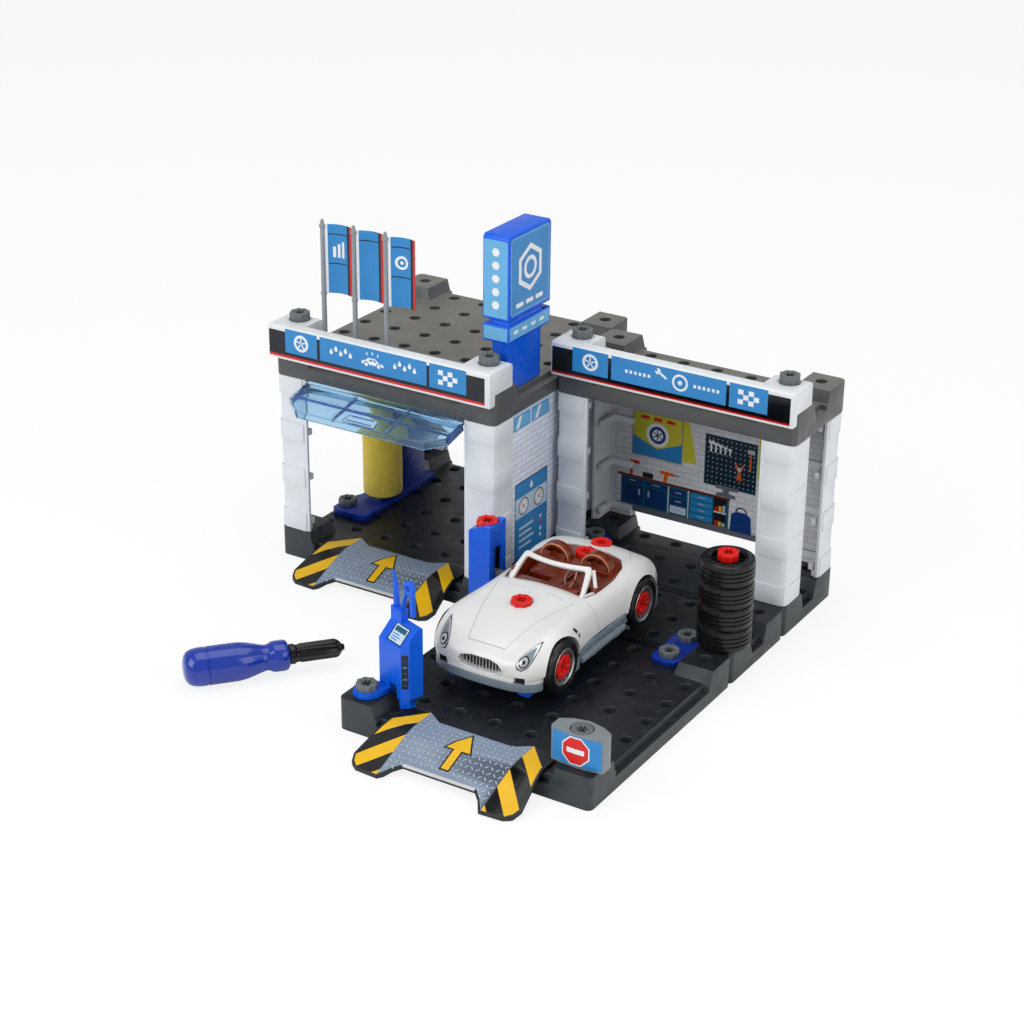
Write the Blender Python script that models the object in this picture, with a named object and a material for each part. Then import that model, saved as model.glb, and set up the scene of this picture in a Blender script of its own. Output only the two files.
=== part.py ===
# Toy service station: two bays on dark grey peg plates, a car wash on the left and a
# service bay with a driveway on the right. Sizes are in millimetres and are turned to
# metres where the meshes are made. X runs along the front, Y to the back, Z up.
import bpy
import bmesh
import math

MM = 0.001
CENTRE_X = 2.6
CENTRE_Y = 187.16

# peg plates
PITCH = 27.3
SEAM = 0.3
PLATE_W = 190.8
DEPTH_LARGE = 190.8
DEPTH_NARROW = 81.6
EDGE = (PLATE_W - 6 * PITCH) / 2
BLOCK_TOP = 23.6
DECK = 14.3
LEDGE = 10.0
DECK_THICK = 2.8
BLOCK_X = 26.0
BLOCK_Y = 28.0
BLOCK_SLOPE = 2.6
CORNER_R = 4.5
HOLE_R = 4.2
HOLE_SIDES = 6
RIM = 8.0
LEDGE_DEEP = 5.4

# fits
GAP = 0.3
PIN_GAP = 0.4

# storeys
ROOF_Z = 147.0
PILLAR = 26.0
PILLAR_WALL = 3.0
BAND_HIGH = 14.5
BAND_PROUD = 0.9
PANEL_THICK = 1.8
CLIP_THICK = 3.2
CLIP_HIGH = 4.6
PANEL_FOOT = 4.3

# places of the plates
FRONT_Y = 0.0
MID_Y = FRONT_Y + DEPTH_LARGE + SEAM
BAY_Y = MID_Y + DEPTH_NARROW + SEAM
WASH_X = -PLATE_W - SEAM
WASH_Y = MID_Y

# screws
HEAD_R = 7.1
HEAD_HIGH = 6.0
SHANK_R = 3.6

# car
CAR_X = 66.5
AXLE_FRONT = 100.4
AXLE_REAR = 208.2
TYRE_R = 18.6
TYRE_W = 14.2
AXLE_Z = DECK + GAP + TYRE_R
CAR_HALF = 46.0
CAR_SHIFT = (8.0, -13.4, 8.0)
BODY_LOW = 30.2
CHASSIS_LOW = 27.3

COLOURS = {
    "plate": ((0.085, 0.092, 0.098), 0.55, 0.0, 1.0),
    "roof": ((0.16, 0.158, 0.15), 0.55, 0.0, 1.0),
    "white": ((0.80, 0.81, 0.82), 0.4, 0.0, 1.0),
    "print": ((0.62, 0.66, 0.74), 0.5, 0.0, 1.0),
    "clear": ((0.05, 0.2, 0.62), 0.15, 0.0, 0.6),
    "blue": ((0.012, 0.085, 0.55), 0.35, 0.0, 1.0),
    "yellow": ((0.72, 0.5, 0.06), 0.8, 0.0, 1.0),
    "grey": ((0.34, 0.36, 0.37), 0.45, 0.0, 1.0),
    "ramp": ((0.42, 0.45, 0.48), 0.5, 0.0, 1.0),
    "red": ((0.75, 0.03, 0.015), 0.35, 0.0, 1.0),
    "tyre": ((0.02, 0.02, 0.02), 0.75, 0.0, 1.0),
    "body": ((0.78, 0.77, 0.74), 0.35, 0.0, 1.0),
    "brown": ((0.27, 0.075, 0.025), 0.5, 0.0, 1.0),
    "black": ((0.015, 0.015, 0.016), 0.45, 0.0, 1.0),
}


def clear_scene():
    for item in list(bpy.data.objects):
        bpy.data.objects.remove(item, do_unlink=True)


def material(slot, kind):
    colour, rough, metal, alpha = COLOURS[kind]
    mat = bpy.data.materials.new(slot)
    mat.use_nodes = True
    shader = mat.node_tree.nodes["Principled BSDF"]
    shader.inputs["Base Color"].default_value = (colour[0], colour[1], colour[2], 1.0)
    shader.inputs["Roughness"].default_value = rough
    shader.inputs["Metallic"].default_value = metal
    shader.inputs["Alpha"].default_value = alpha
    return mat


def place(axis, a, b, t):
    if axis == "z":
        return (a, b, t)
    if axis == "x":
        return (t, a, b)
    return (a, t, b)


# A closed solid from an outline that is pushed along one axis; the far end may use
# an outline of its own.
def prism(outline, low, high, axis="z", far=None):
    bm = bmesh.new()
    top = far if far else outline
    first = [bm.verts.new(place(axis, a, b, low)) for a, b in outline]
    last = [bm.verts.new(place(axis, a, b, high)) for a, b in top]
    count = len(first)
    bm.faces.new(first)
    bm.faces.new(last)
    for i in range(count):
        j = (i + 1) % count
        bm.faces.new((first[i], first[j], last[j], last[i]))
    bmesh.ops.recalc_face_normals(bm, faces=bm.faces)
    return bm


def box(x0, x1, y0, y1, z0, z1):
    return prism([(x0, y0), (x1, y0), (x1, y1), (x0, y1)], z0, z1)


def rounded(x0, x1, y0, y1, radius, steps=2):
    points = []
    corners = (
        (x1 - radius, y0 + radius, -90),
        (x1 - radius, y1 - radius, 0),
        (x0 + radius, y1 - radius, 90),
        (x0 + radius, y0 + radius, 180),
    )
    for cx, cy, start in corners:
        for k in range(steps + 1):
            angle = math.radians(start + 90 * k / steps)
            points.append((cx + radius * math.cos(angle), cy + radius * math.sin(angle)))
    return points


def circle(cx, cy, radius, count, turn=0.0):
    points = []
    for k in range(count):
        angle = math.radians(turn) + 2 * math.pi * k / count
        points.append((cx + radius * math.cos(angle), cy + radius * math.sin(angle)))
    return points


def star(cx, cy, outer, inner, lobes):
    points = []
    for k in range(lobes * 2):
        angle = math.pi * k / lobes
        radius = outer if k % 2 == 0 else inner
        points.append((cx + radius * math.cos(angle), cy + radius * math.sin(angle)))
    return points


# A ring turned round an axis: the profile is a closed loop of (radius, along) pairs.
def ring(profile, count, cx, cy, axis="z"):
    bm = bmesh.new()
    loops = []
    for radius, along in profile:
        loop = []
        for k in range(count):
            angle = 2 * math.pi * k / count
            a = cx + radius * math.cos(angle)
            b = cy + radius * math.sin(angle)
            loop.append(bm.verts.new(place(axis, a, b, along)))
        loops.append(loop)
    for i in range(len(loops)):
        one = loops[i]
        two = loops[(i + 1) % len(loops)]
        for k in range(count):
            j = (k + 1) % count
            bm.faces.new((one[k], one[j], two[j], two[k]))
    bmesh.ops.recalc_face_normals(bm, faces=bm.faces)
    return bm


# A solid from rings of equal count, closed with flat ends.
def stack(levels):
    bm = bmesh.new()
    loops = []
    for outline, height in levels:
        loops.append([bm.verts.new((a, b, height)) for a, b in outline])
    count = len(loops[0])
    bm.faces.new(loops[0])
    bm.faces.new(loops[-1])
    for one, two in zip(loops, loops[1:]):
        for k in range(count):
            j = (k + 1) % count
            bm.faces.new((one[k], one[j], two[j], two[k]))
    bmesh.ops.recalc_face_normals(bm, faces=bm.faces)
    return bm


def merge(parts):
    whole = bmesh.new()
    for bm in parts:
        mesh = bpy.data.meshes.new("piece")
        bm.to_mesh(mesh)
        bm.free()
        whole.from_mesh(mesh)
        bpy.data.meshes.remove(mesh)
    return whole


def turn(bm, pivot, axis, degrees):
    angle = math.radians(degrees)
    c = math.cos(angle)
    s = math.sin(angle)
    for vert in bm.verts:
        x = vert.co.x - pivot[0]
        y = vert.co.y - pivot[1]
        z = vert.co.z - pivot[2]
        if axis == "x":
            y, z = c * y - s * z, s * y + c * z
        elif axis == "y":
            x, z = c * x + s * z, c * z - s * x
        else:
            x, y = c * x - s * y, s * x + c * y
        vert.co = (x + pivot[0], y + pivot[1], z + pivot[2])
    return bm


def flip_y(bm, middle):
    for vert in bm.verts:
        vert.co.y = 2 * middle - vert.co.y
    bmesh.ops.reverse_faces(bm, faces=bm.faces)
    return bm


def flip_x(bm, middle):
    for vert in bm.verts:
        vert.co.x = 2 * middle - vert.co.x
    bmesh.ops.reverse_faces(bm, faces=bm.faces)
    return bm


def add(name, bm, pivot=(0.0, 0.0, 0.0)):
    px, py, pz = pivot
    for vert in bm.verts:
        x, y, z = vert.co
        vert.co = ((x - px) * MM, (y - py) * MM, (z - pz) * MM)
    mesh = bpy.data.meshes.new(name)
    bm.to_mesh(mesh)
    bm.free()
    for face in mesh.polygons:
        face.use_smooth = True
    item = bpy.data.objects.new(name, mesh)
    item.location = ((px - CENTRE_X) * MM, (py - CENTRE_Y) * MM, pz * MM)
    bpy.context.collection.objects.link(item)
    return item


def node(name, kind, bm, pivot=(0.0, 0.0, 0.0)):
    item = add(name, bm, pivot)
    item.data.materials.append(material(name, kind))
    return item


def change(item, bm, mode):
    tool = add(item.name + "_" + mode.lower() + str(len(item.modifiers)), bm)
    tool.hide_render = True
    tool.display_type = "WIRE"
    step = item.modifiers.new(tool.name, "BOOLEAN")
    step.operation = mode
    step.object = tool
    step.solver = "EXACT"
    return item


def cut(item, *parts):
    return change(item, merge(parts), "DIFFERENCE")


def fuse(item, *parts):
    for bm in parts:
        change(item, bm, "UNION")
    return item


def keep_common(item, bm):
    return change(item, bm, "INTERSECT")


# Column k and row j of a plate's peg holes.
def hole_at(x0, y0, column, row):
    return (x0 + EDGE + PITCH * column, y0 + EDGE + PITCH * row)


def plate(name, kind, x0, y0, z0, depth):
    x1 = x0 + PLATE_W
    y1 = y0 + depth
    rows = int(round((depth - 2 * EDGE) / PITCH)) + 1
    top = z0 + BLOCK_TOP
    deck = z0 + DECK
    item = node(name, kind, prism(rounded(x0, x1, y0, y1, CORNER_R), z0, top))
    by = BLOCK_Y
    slope = BLOCK_SLOPE
    wide = slope * 0.2
    across = prism(
        [(x0 + BLOCK_X - wide, top + 2), (x1 - BLOCK_X + wide, top + 2),
         (x1 - BLOCK_X - slope, deck), (x0 + BLOCK_X + slope, deck)],
        y0 - 2, y1 + 2, "y")
    along = prism(
        [(y0 + by - wide, top + 2), (y1 - by + wide, top + 2),
         (y1 - by - slope, deck), (y0 + by + slope, deck)],
        x0 - 2, x1 + 2, "x")
    cut(item, across)
    cut(item, along)
    ledges = []
    shelf = z0 + LEDGE
    for a, b in ((y0 - 1, y0 + LEDGE_DEEP), (y1 - LEDGE_DEEP, y1 + 1)):
        ledges.append(box(x0 + BLOCK_X + slope + 1.6, x1 - BLOCK_X - slope - 1.6, a, b, shelf, deck + 1))
    for a, b in ((x0 - 1, x0 + LEDGE_DEEP), (x1 - LEDGE_DEEP, x1 + 1)):
        ledges.append(box(a, b, y0 + by + slope + 1.2, y1 - by - slope - 1.2, shelf, deck + 1))
    cut(item, *ledges)
    cut(item, box(x0 + RIM, x1 - RIM, y0 + RIM, y1 - RIM, z0 - 1, deck - DECK_THICK))
    drills = []
    for column in range(7):
        for row in range(rows):
            hx, hy = hole_at(x0, y0, column, row)
            drills.append(prism(circle(hx, hy, HOLE_R, HOLE_SIDES), z0 + 5, top + 3))
    cut(item, *drills)
    return item


# A corner pillar: an L-shaped shell with raised brick bands outside and curved clips
# inside that hold a wall panel between clip and shell.
def pillar(name, corner_x, corner_y, sx, sy):
    low = BLOCK_TOP + GAP
    high = ROOF_Z - GAP

    def spot(a, b):
        return (corner_x - sx * a, corner_y - sy * b)

    def corner_line(inset, length, thick, radius):
        points = [spot(length, inset)]
        for k in range(3):
            angle = math.radians(90 * k / 2)
            points.append(spot(inset + radius - radius * math.sin(angle),
                               inset + radius - radius * math.cos(angle)))
        points.append(spot(inset, length))
        points.append(spot(inset + thick, length))
        points.append(spot(inset + thick, inset + thick))
        points.append(spot(length, inset + thick))
        return points

    proud = BAND_PROUD
    item = node(name, "white",
                prism(corner_line(proud, PILLAR, PILLAR_WALL - proud, CORNER_R), low, high))
    step = (high - low - BAND_HIGH) / 3
    bands = []
    for k in range(4):
        start = low + step * k
        bands.append(prism(corner_line(0.0, PILLAR - 2.5, proud + 0.8, CORNER_R + 0.6),
                           start, start + BAND_HIGH))
    for bm in bands:
        fuse(item, bm)
    near = PILLAR_WALL + PANEL_THICK + 2 * GAP
    far = near + CLIP_THICK
    web = 9.6
    hold = PILLAR_WALL - 0.9
    clip = [spot(hold, hold), spot(web, hold), spot(web, near), spot(PILLAR - 0.8, near),
            spot(PILLAR - 0.8, far), spot(far, far), spot(far, PILLAR - 0.8), spot(near, PILLAR - 0.8),
            spot(near, web), spot(hold, web)]
    for k in range(4):
        middle = low + step * k + BAND_HIGH / 2
        fuse(item, prism(clip, middle - CLIP_HIGH / 2, middle + CLIP_HIGH / 2))
    foot = [spot(hold, hold), spot(PILLAR - 1.4, hold), spot(PILLAR - 1.4, near + 0.6),
            spot(near + 0.6, near + 0.6), spot(near + 0.6, PILLAR - 1.4), spot(hold, PILLAR - 1.4)]
    fuse(item, prism(foot, low, low + PANEL_FOOT))
    return item


# Screw with a round head and a star socket; every ring has the same count of points.
LOBES = 5


def screw_body(cx, cy, seat, head_r, head_high, shank_r, shank_low):
    outer = circle(cx, cy, head_r, LOBES * 2)
    socket = star(cx, cy, head_r * 0.66, head_r * 0.42, LOBES)
    shank = circle(cx, cy, shank_r, LOBES * 2)
    return stack([
        (shank, shank_low), (shank, seat), (outer, seat), (outer, seat + head_high),
        (socket, seat + head_high), (socket, seat + head_high * 0.3)])


def head_on(cx, cy, low, high):
    outer = circle(cx, cy, HEAD_R, 12)
    return stack([(outer, low), (outer, high)])


FASCIA_PROUD = 7.0
FASCIA_LOW = 163.0
FASCIA_HIGH = 188.0
FASCIA_DEEP = 16.6


def fascia(name, x0, y0):
    block = ROOF_Z + BLOCK_TOP + GAP
    shape = [
        (y0 - FASCIA_PROUD, FASCIA_LOW), (y0 - GAP, FASCIA_LOW), (y0 - GAP, block),
        (y0 + FASCIA_DEEP + 6.0, block), (y0 + FASCIA_DEEP + 6.0, FASCIA_HIGH - 1.8),
        (y0 + FASCIA_DEEP + 4.2, FASCIA_HIGH), (y0 - FASCIA_PROUD + 1.2, FASCIA_HIGH),
        (y0 - FASCIA_PROUD, FASCIA_HIGH - 1.2)]
    item = node(name, "white", prism(shape, x0, x0 + PLATE_W, "x"))
    holes = []
    seats = []
    for column in (0, 6):
        hx, hy = hole_at(x0, y0, column, 0)
        holes.append(prism(circle(hx, hy, SHANK_R + PIN_GAP, 8), block - 3, FASCIA_HIGH + 3))
        seats.append(prism(circle(hx, hy, HEAD_R + 1.3, 12), FASCIA_HIGH - 1.0, FASCIA_HIGH + 2))
    cut(item, *holes)
    cut(item, *seats)
    cut(item, box(x0 + 27.5, x0 + PLATE_W - 27.5, y0 + 2.2, y0 + FASCIA_DEEP + 8, block - 2, FASCIA_HIGH + 2))
    for side, column in (("a", 0), ("b", 6)):
        hx, hy = hole_at(x0, y0, column, 0)
        node(name + "_screw_" + side, "grey",
             screw_body(hx, hy, FASCIA_HIGH - 1.0 + GAP, HEAD_R, HEAD_HIGH + 0.6, SHANK_R, ROOF_Z + 12.0))
    return item


# Flap door: hinged on a barrel under the roof plate, drawn swung out.
DOOR_ANGLE = 13.0
DOOR_OUT = 36.0
DOOR_BARREL = 2.0


def flap(name, y0, front):
    middle = WASH_X + PLATE_W / 2
    half = PLATE_W / 2 - PILLAR - GAP
    hinge_y = y0 + 3.4
    hinge_z = ROOF_Z - GAP - DOOR_BARREL
    reach = DOOR_OUT
    cut_x = 14.0
    cut_y = 12.0

    def outline(inset, start):
        return [(middle - half + inset, hinge_y - start),
                (middle - half + inset, hinge_y - reach + cut_y + inset * 0.4),
                (middle - half + cut_x + inset * 0.4, hinge_y - reach + inset),
                (middle + half - cut_x - inset * 0.4, hinge_y - reach + inset),
                (middle + half - inset, hinge_y - reach + cut_y + inset * 0.4),
                (middle + half - inset, hinge_y - start)]

    solid = prism(outline(0.3, 0.6), hinge_z - 5.8, hinge_z + 0.2)
    pivot = (middle, hinge_y, hinge_z)
    tools = [(turn(prism(outline(2.2, 5.2), hinge_z - 7, hinge_z - 1.4), pivot, "x", DOOR_ANGLE), "cut")]
    tools.append((turn(box(middle - half - 2, middle + half + 2, hinge_y - 3.6, hinge_y + 2,
                           hinge_z - 8, hinge_z - 1.8), pivot, "x", DOOR_ANGLE), "cut"))
    bars = []
    for x in (middle - half / 3, middle + half / 3):
        bars.append(box(x - 0.8, x + 0.8, hinge_y - reach + 1.5, hinge_y - 3, hinge_z - 1, hinge_z + 1.0))
    bars.append(box(middle - half + 2, middle + half - 2, hinge_y - 19.4, hinge_y - 17.8,
                    hinge_z - 0.8, hinge_z + 0.9))
    for bm in bars:
        tools.append((turn(bm, pivot, "x", DOOR_ANGLE), "fuse"))
    handle = prism([(middle - 14, hinge_y - reach + 0.9), (middle + 14, hinge_y - reach + 0.9),
                    (middle + 12, hinge_y - reach + 9.5), (middle - 12, hinge_y - reach + 9.5)],
                   hinge_z - 0.9, hinge_z + 2.0)
    tools.append((turn(handle, pivot, "x", DOOR_ANGLE), "fuse"))
    barrel = prism(circle(hinge_y, hinge_z, DOOR_BARREL, 12), middle - half, middle + half, "x")
    tools.append((barrel, "fuse"))
    shell = turn(solid, pivot, "x", DOOR_ANGLE)
    if not front:
        mirror = WASH_Y + DEPTH_LARGE / 2
        shell = flip_y(shell, mirror)
        tools = [(flip_y(bm, mirror), mode) for bm, mode in tools]
        pivot = (middle, 2 * mirror - hinge_y, hinge_z)
    item = node(name, "clear", shell, pivot)
    for bm, mode in tools:
        if mode == "cut":
            cut(item, bm)
        else:
            fuse(item, bm)
    return item


# Wash brush: a bracket that is screwed to the plate and a foam roller that turns in it.
ROLLER_R = 15.5
ROLLER_Y = 286.1
ROLLER_LOW = 22.4
ROLLER_HIGH = 132.0
PIN_R = 2.6


def wash_brush(side, left):
    mirror = WASH_X + PLATE_W / 2
    cx = WASH_X + 27.6
    low = DECK + GAP
    base = prism([(cx - 20.4, 247.5), (cx - 17.5, 244.5), (cx + 8.5, 244.5), (cx + 12.5, 249.0),
                  (cx + 10.3, 344.7), (cx - 5.6, 344.7), (cx - 5.9, 301.0), (cx - 20.4, 268.0)],
                 low, low + 4.6)
    post = box(cx - 5.2, cx + 6.1, ROLLER_Y + ROLLER_R + 5, 335.3, low + 3, 140.0)
    arm = prism([(cx - 5.2, ROLLER_Y + ROLLER_R + 8), (cx - 7.0, ROLLER_Y - 6), (cx + 7.0, ROLLER_Y - 6),
                 (cx + 6.1, ROLLER_Y + ROLLER_R + 8)], ROLLER_HIGH + 2.2, 140.0)
    sx, sy = hole_at(WASH_X, WASH_Y, 0, 2)
    foot_a = head_on(sx, sy - 1.0, low + 3.6, low + 9.4)
    peg = prism(circle(sx, sy, HOLE_R - PIN_GAP, HOLE_SIDES), DECK - 5, low + 2)
    bores = [prism(circle(cx, ROLLER_Y, PIN_R + PIN_GAP, 8), low + 1.4, low + 6),
             prism(circle(cx, ROLLER_Y, PIN_R + PIN_GAP, 8), ROLLER_HIGH + 1, 138.0)]
    levels = []
    for radius, height in ((PIN_R, low + 1.7), (PIN_R, ROLLER_LOW), (ROLLER_R - 2.5, ROLLER_LOW),
                           (ROLLER_R, ROLLER_LOW + 2.5), (ROLLER_R, ROLLER_HIGH - 2.5),
                           (ROLLER_R - 2.5, ROLLER_HIGH), (PIN_R, ROLLER_HIGH), (PIN_R, 137.4)):
        levels.append((circle(cx, ROLLER_Y, radius, 14), height))
    parts = [base, post, arm, foot_a, peg] + bores + [stack(levels)]
    if not left:
        parts = [flip_x(bm, mirror) for bm in parts]
    holder = node("brush_bracket_" + side, "blue", parts[0])
    fuse(holder, parts[1], parts[2], parts[3], parts[4])
    cut(holder, parts[5], parts[6])
    pivot = (cx if left else 2 * mirror - cx, ROLLER_Y, (ROLLER_LOW + ROLLER_HIGH) / 2)
    node("brush_roller_" + side, "yellow", parts[7], pivot)
    return holder


# Pylon sign on the wash roof.
def pylon():
    deck = ROOF_Z + DECK + GAP
    block = ROOF_Z + BLOCK_TOP + GAP
    edge_y = WASH_Y + BLOCK_Y
    post = prism([(edge_y + 3.9, deck), (263.0, deck), (263.0, 222.0), (edge_y - 0.5, 222.0),
                  (edge_y - 0.5, block + 1.6)], -20.5, -7.2, "x")
    item = node("pylon_sign", "blue", post)
    fuse(item, box(-27.4, -6.0, 217.0, 273.4, 198.8, 211.6))
    fuse(item, prism([(217.0, 215.2), (273.4, 215.2), (273.4, 274.0), (271.4, 276.6),
                      (219.0, 276.6), (217.0, 274.0)], -27.4, -6.0, "x"))
    return item


POLE_SIDE = 4.8


def flag(name, column):
    hx, hy = hole_at(WASH_X, WASH_Y, column, 0)
    deck = ROOF_Z + DECK
    levels = []
    for radius, height in ((HOLE_R - PIN_GAP, -2.4), (HOLE_R - PIN_GAP, GAP), (5.6, GAP), (5.2, 3.2)):
        levels.append((circle(hx, hy, radius, HOLE_SIDES), deck + height))
    item = node(name, "grey", stack(levels))
    px = hx - POLE_SIDE
    pole = []
    for radius, height in ((3.0, GAP), (2.6, 3.2), (2.0, 4.4), (1.8, 105.0), (0.8, 106.6)):
        pole.append((circle(px, hy, radius, HOLE_SIDES, 30.0), deck + height))
    fuse(item, stack(pole))
    outer = []
    inner = []
    for k in range(6):
        t = k / 5
        x = px + 0.6 + 22.0 * t
        y = hy + 0.4 + 3.0 * t + 3.2 * math.sin(math.pi * t)
        outer.append((x, y + 0.6))
        inner.append((x, y - 0.6))
    fuse(item, prism(outer + inner[::-1], 212.5, 264.0))
    return item


# A link with two screws that holds two plates together across their seam.
def joiner(name, x_a, y_a, x_b, y_b, z, side_x=10.6, side_y=10.6, short=0.0):
    low = z + GAP
    cx = (x_a + x_b) / 2
    cy = (y_a + y_b) / 2
    half_x = abs(x_b - x_a) / 2 + side_x
    half_y = abs(y_b - y_a) / 2 + side_y
    item = node(name, "blue", prism(rounded(cx - half_x + short, cx + half_x, cy - half_y, cy + half_y, 6.0, 2),
                                    low, low + 3.6))
    for x, y in ((x_a, y_a), (x_b, y_b)):
        fuse(item, head_on(x, y, low + 2.8, low + 8.0))
        fuse(item, prism(circle(x, y, HOLE_R - PIN_GAP, HOLE_SIDES), low - 6, low + 1.5))
    return item


# Ramp: waisted plan with hazard wings, sloping from the deck to the floor.
RAMP_HALF = 63.2
RAMP_IN = 26.5
RAMP_OUT = 39.0
RAMP_THICK = 2.2


def ramp(name, cx, y0):
    half = RAMP_HALF
    plan = [
        (-half + 5, 21.0), (-half + 10.5, RAMP_IN), (-40.0, RAMP_IN), (-34.0, 22.5), (-28.5, 18.4),
        (28.5, 18.4), (34.0, 22.5), (40.0, RAMP_IN), (half - 10.5, RAMP_IN), (half - 5, 21.0),
        (half - 5, 4.0), (half, -28.0), (half - 2.5, -34.0), (half - 8, -38.0), (38.0, -RAMP_OUT),
        (32.0, -30.0), (27.0, -25.5), (-27.0, -25.5), (-32.0, -30.0), (-38.0, -RAMP_OUT),
        (-half + 8, -38.0), (-half + 2.5, -34.0), (-half, -28.0), (-half + 5, 4.0)]
    outline = [(cx + a, y0 + b) for a, b in plan]
    bottom = [(30.0, DECK + GAP), (6.2, DECK + GAP), (-4.0, 12.6), (-16.0, 8.0), (-28.0, 3.2), (-35.0, GAP),
              (-45.0, GAP)]
    top = [(-45.0, 1.6), (-36.0, 3.2), (-28.0, 6.0), (-16.0, 10.6), (-4.0, 14.9), (4.0, 16.6), (30.0, 16.9)]
    side = [(y0 + a, b) for a, b in bottom + top]
    item = node(name, "ramp", prism(outline, -4, 40))
    keep_common(item, prism(side, cx - 80, cx + 80, "x"))
    fuse(item, box(cx - 55, cx + 55, y0 + 1.2, y0 + 4.6, LEDGE + GAP, 14.6))
    return item


def stop_block():
    cx, cy = hole_at(0.0, FRONT_Y, 6, 0)
    cx = cx - 2.0
    low = BLOCK_TOP + GAP
    plan = [(cx - 18.6, cy - 4.6), (cx - 9, cy - 6.4), (cx, cy - 7.0), (cx + 9, cy - 6.4),
            (cx + 18.6, cy - 4.6), (cx + 18.6, cy + 4.8), (cx + 11, cy + 9.2), (cx, cy + 11.6),
            (cx - 11, cy + 9.2), (cx - 18.6, cy + 4.8)]
    item = node("stop_block", "grey", prism(plan, low, 48.0))
    cut(item, prism(circle(cx, cy + 1.2, 7.9, 12), 46.8, 50))
    fuse(item, head_on(cx, cy + 1.2, 44.5, 48.3))
    fuse(item, prism(circle(cx + 2.0, cy, HOLE_R - PIN_GAP, HOLE_SIDES), low - 8, low + 2))
    return item


# Lift: column with a drive screw, and a carriage whose fork reaches under the car.
LIFT_X = 5.2
LIFT_Y = 173.4
LIFT_TOP = 84.3
FORK_LOW = BLOCK_TOP + GAP
FORK_HIGH = FORK_LOW + 3.7
FORK_PAD = CHASSIS_LOW + CAR_SHIFT[2] - GAP
FORK_BAR = 8.2
FORK_LEFT = 43.1
FORK_RIGHT = 2 * (CAR_X + CAR_SHIFT[0]) - FORK_LEFT
FORK_FRONT = 65.0


def lift():
    low = BLOCK_TOP + GAP
    item = node("lift_column", "blue", prism([(-3.3, low), (14.0, low), (14.0, LIFT_TOP), (9.0, LIFT_TOP),
                                               (-3.3, 79.0)], 162.0, 183.4, "y"))
    cut(item, box(0.4, 16.0, LIFT_Y - 3.9, LIFT_Y + 3.9, 36.0, 66.6))
    cut(item, prism(circle(LIFT_X, LIFT_Y, 8.2, 12), 77.4, 90))
    cut(item, prism(circle(LIFT_X, LIFT_Y, 2.2 + PIN_GAP, 8), 60.0, 80.0))
    cut(item, prism(circle(LIFT_X, LIFT_Y, 2.2 + PIN_GAP, 8), 32.0, 40.0))
    screw = screw_body(LIFT_X, LIFT_Y, 77.4 + GAP, 7.6, 7.4, 2.2, 33.0)
    node("lift_screw", "red", screw, (LIFT_X, LIFT_Y, 77.7))
    carriage = node("lift_carriage", "grey",
                    box(0.8, 18.2, LIFT_Y - 3.5, LIFT_Y + 3.5, 38.4, 47.0), (LIFT_X, LIFT_Y, 42.7))
    fuse(carriage, box(14.4, 18.2, LIFT_Y - 3.2, LIFT_Y + 3.2, FORK_LOW + 0.2, 44.0))
    fuse(carriage, box(14.6, FORK_RIGHT - 0.3, LIFT_Y - 3.0, LIFT_Y + 3.0, FORK_LOW, FORK_HIGH))
    for x in (FORK_LEFT, FORK_RIGHT - FORK_BAR):
        fuse(carriage, box(x, x + FORK_BAR, FORK_FRONT, LIFT_Y + 2.8, FORK_LOW + 0.2, FORK_HIGH - 0.2))
        for y in (84.0, 164.0):
            fuse(carriage, box(x + 2.6, x + FORK_BAR - 2.6, y, y + 8.0, FORK_LOW + 1.0, FORK_PAD))
    cut(carriage, prism(circle(LIFT_X, LIFT_Y, 2.2 + PIN_GAP, 8), 36.0, 50.0))
    return item


TOOL_TURN = -20.0


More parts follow.
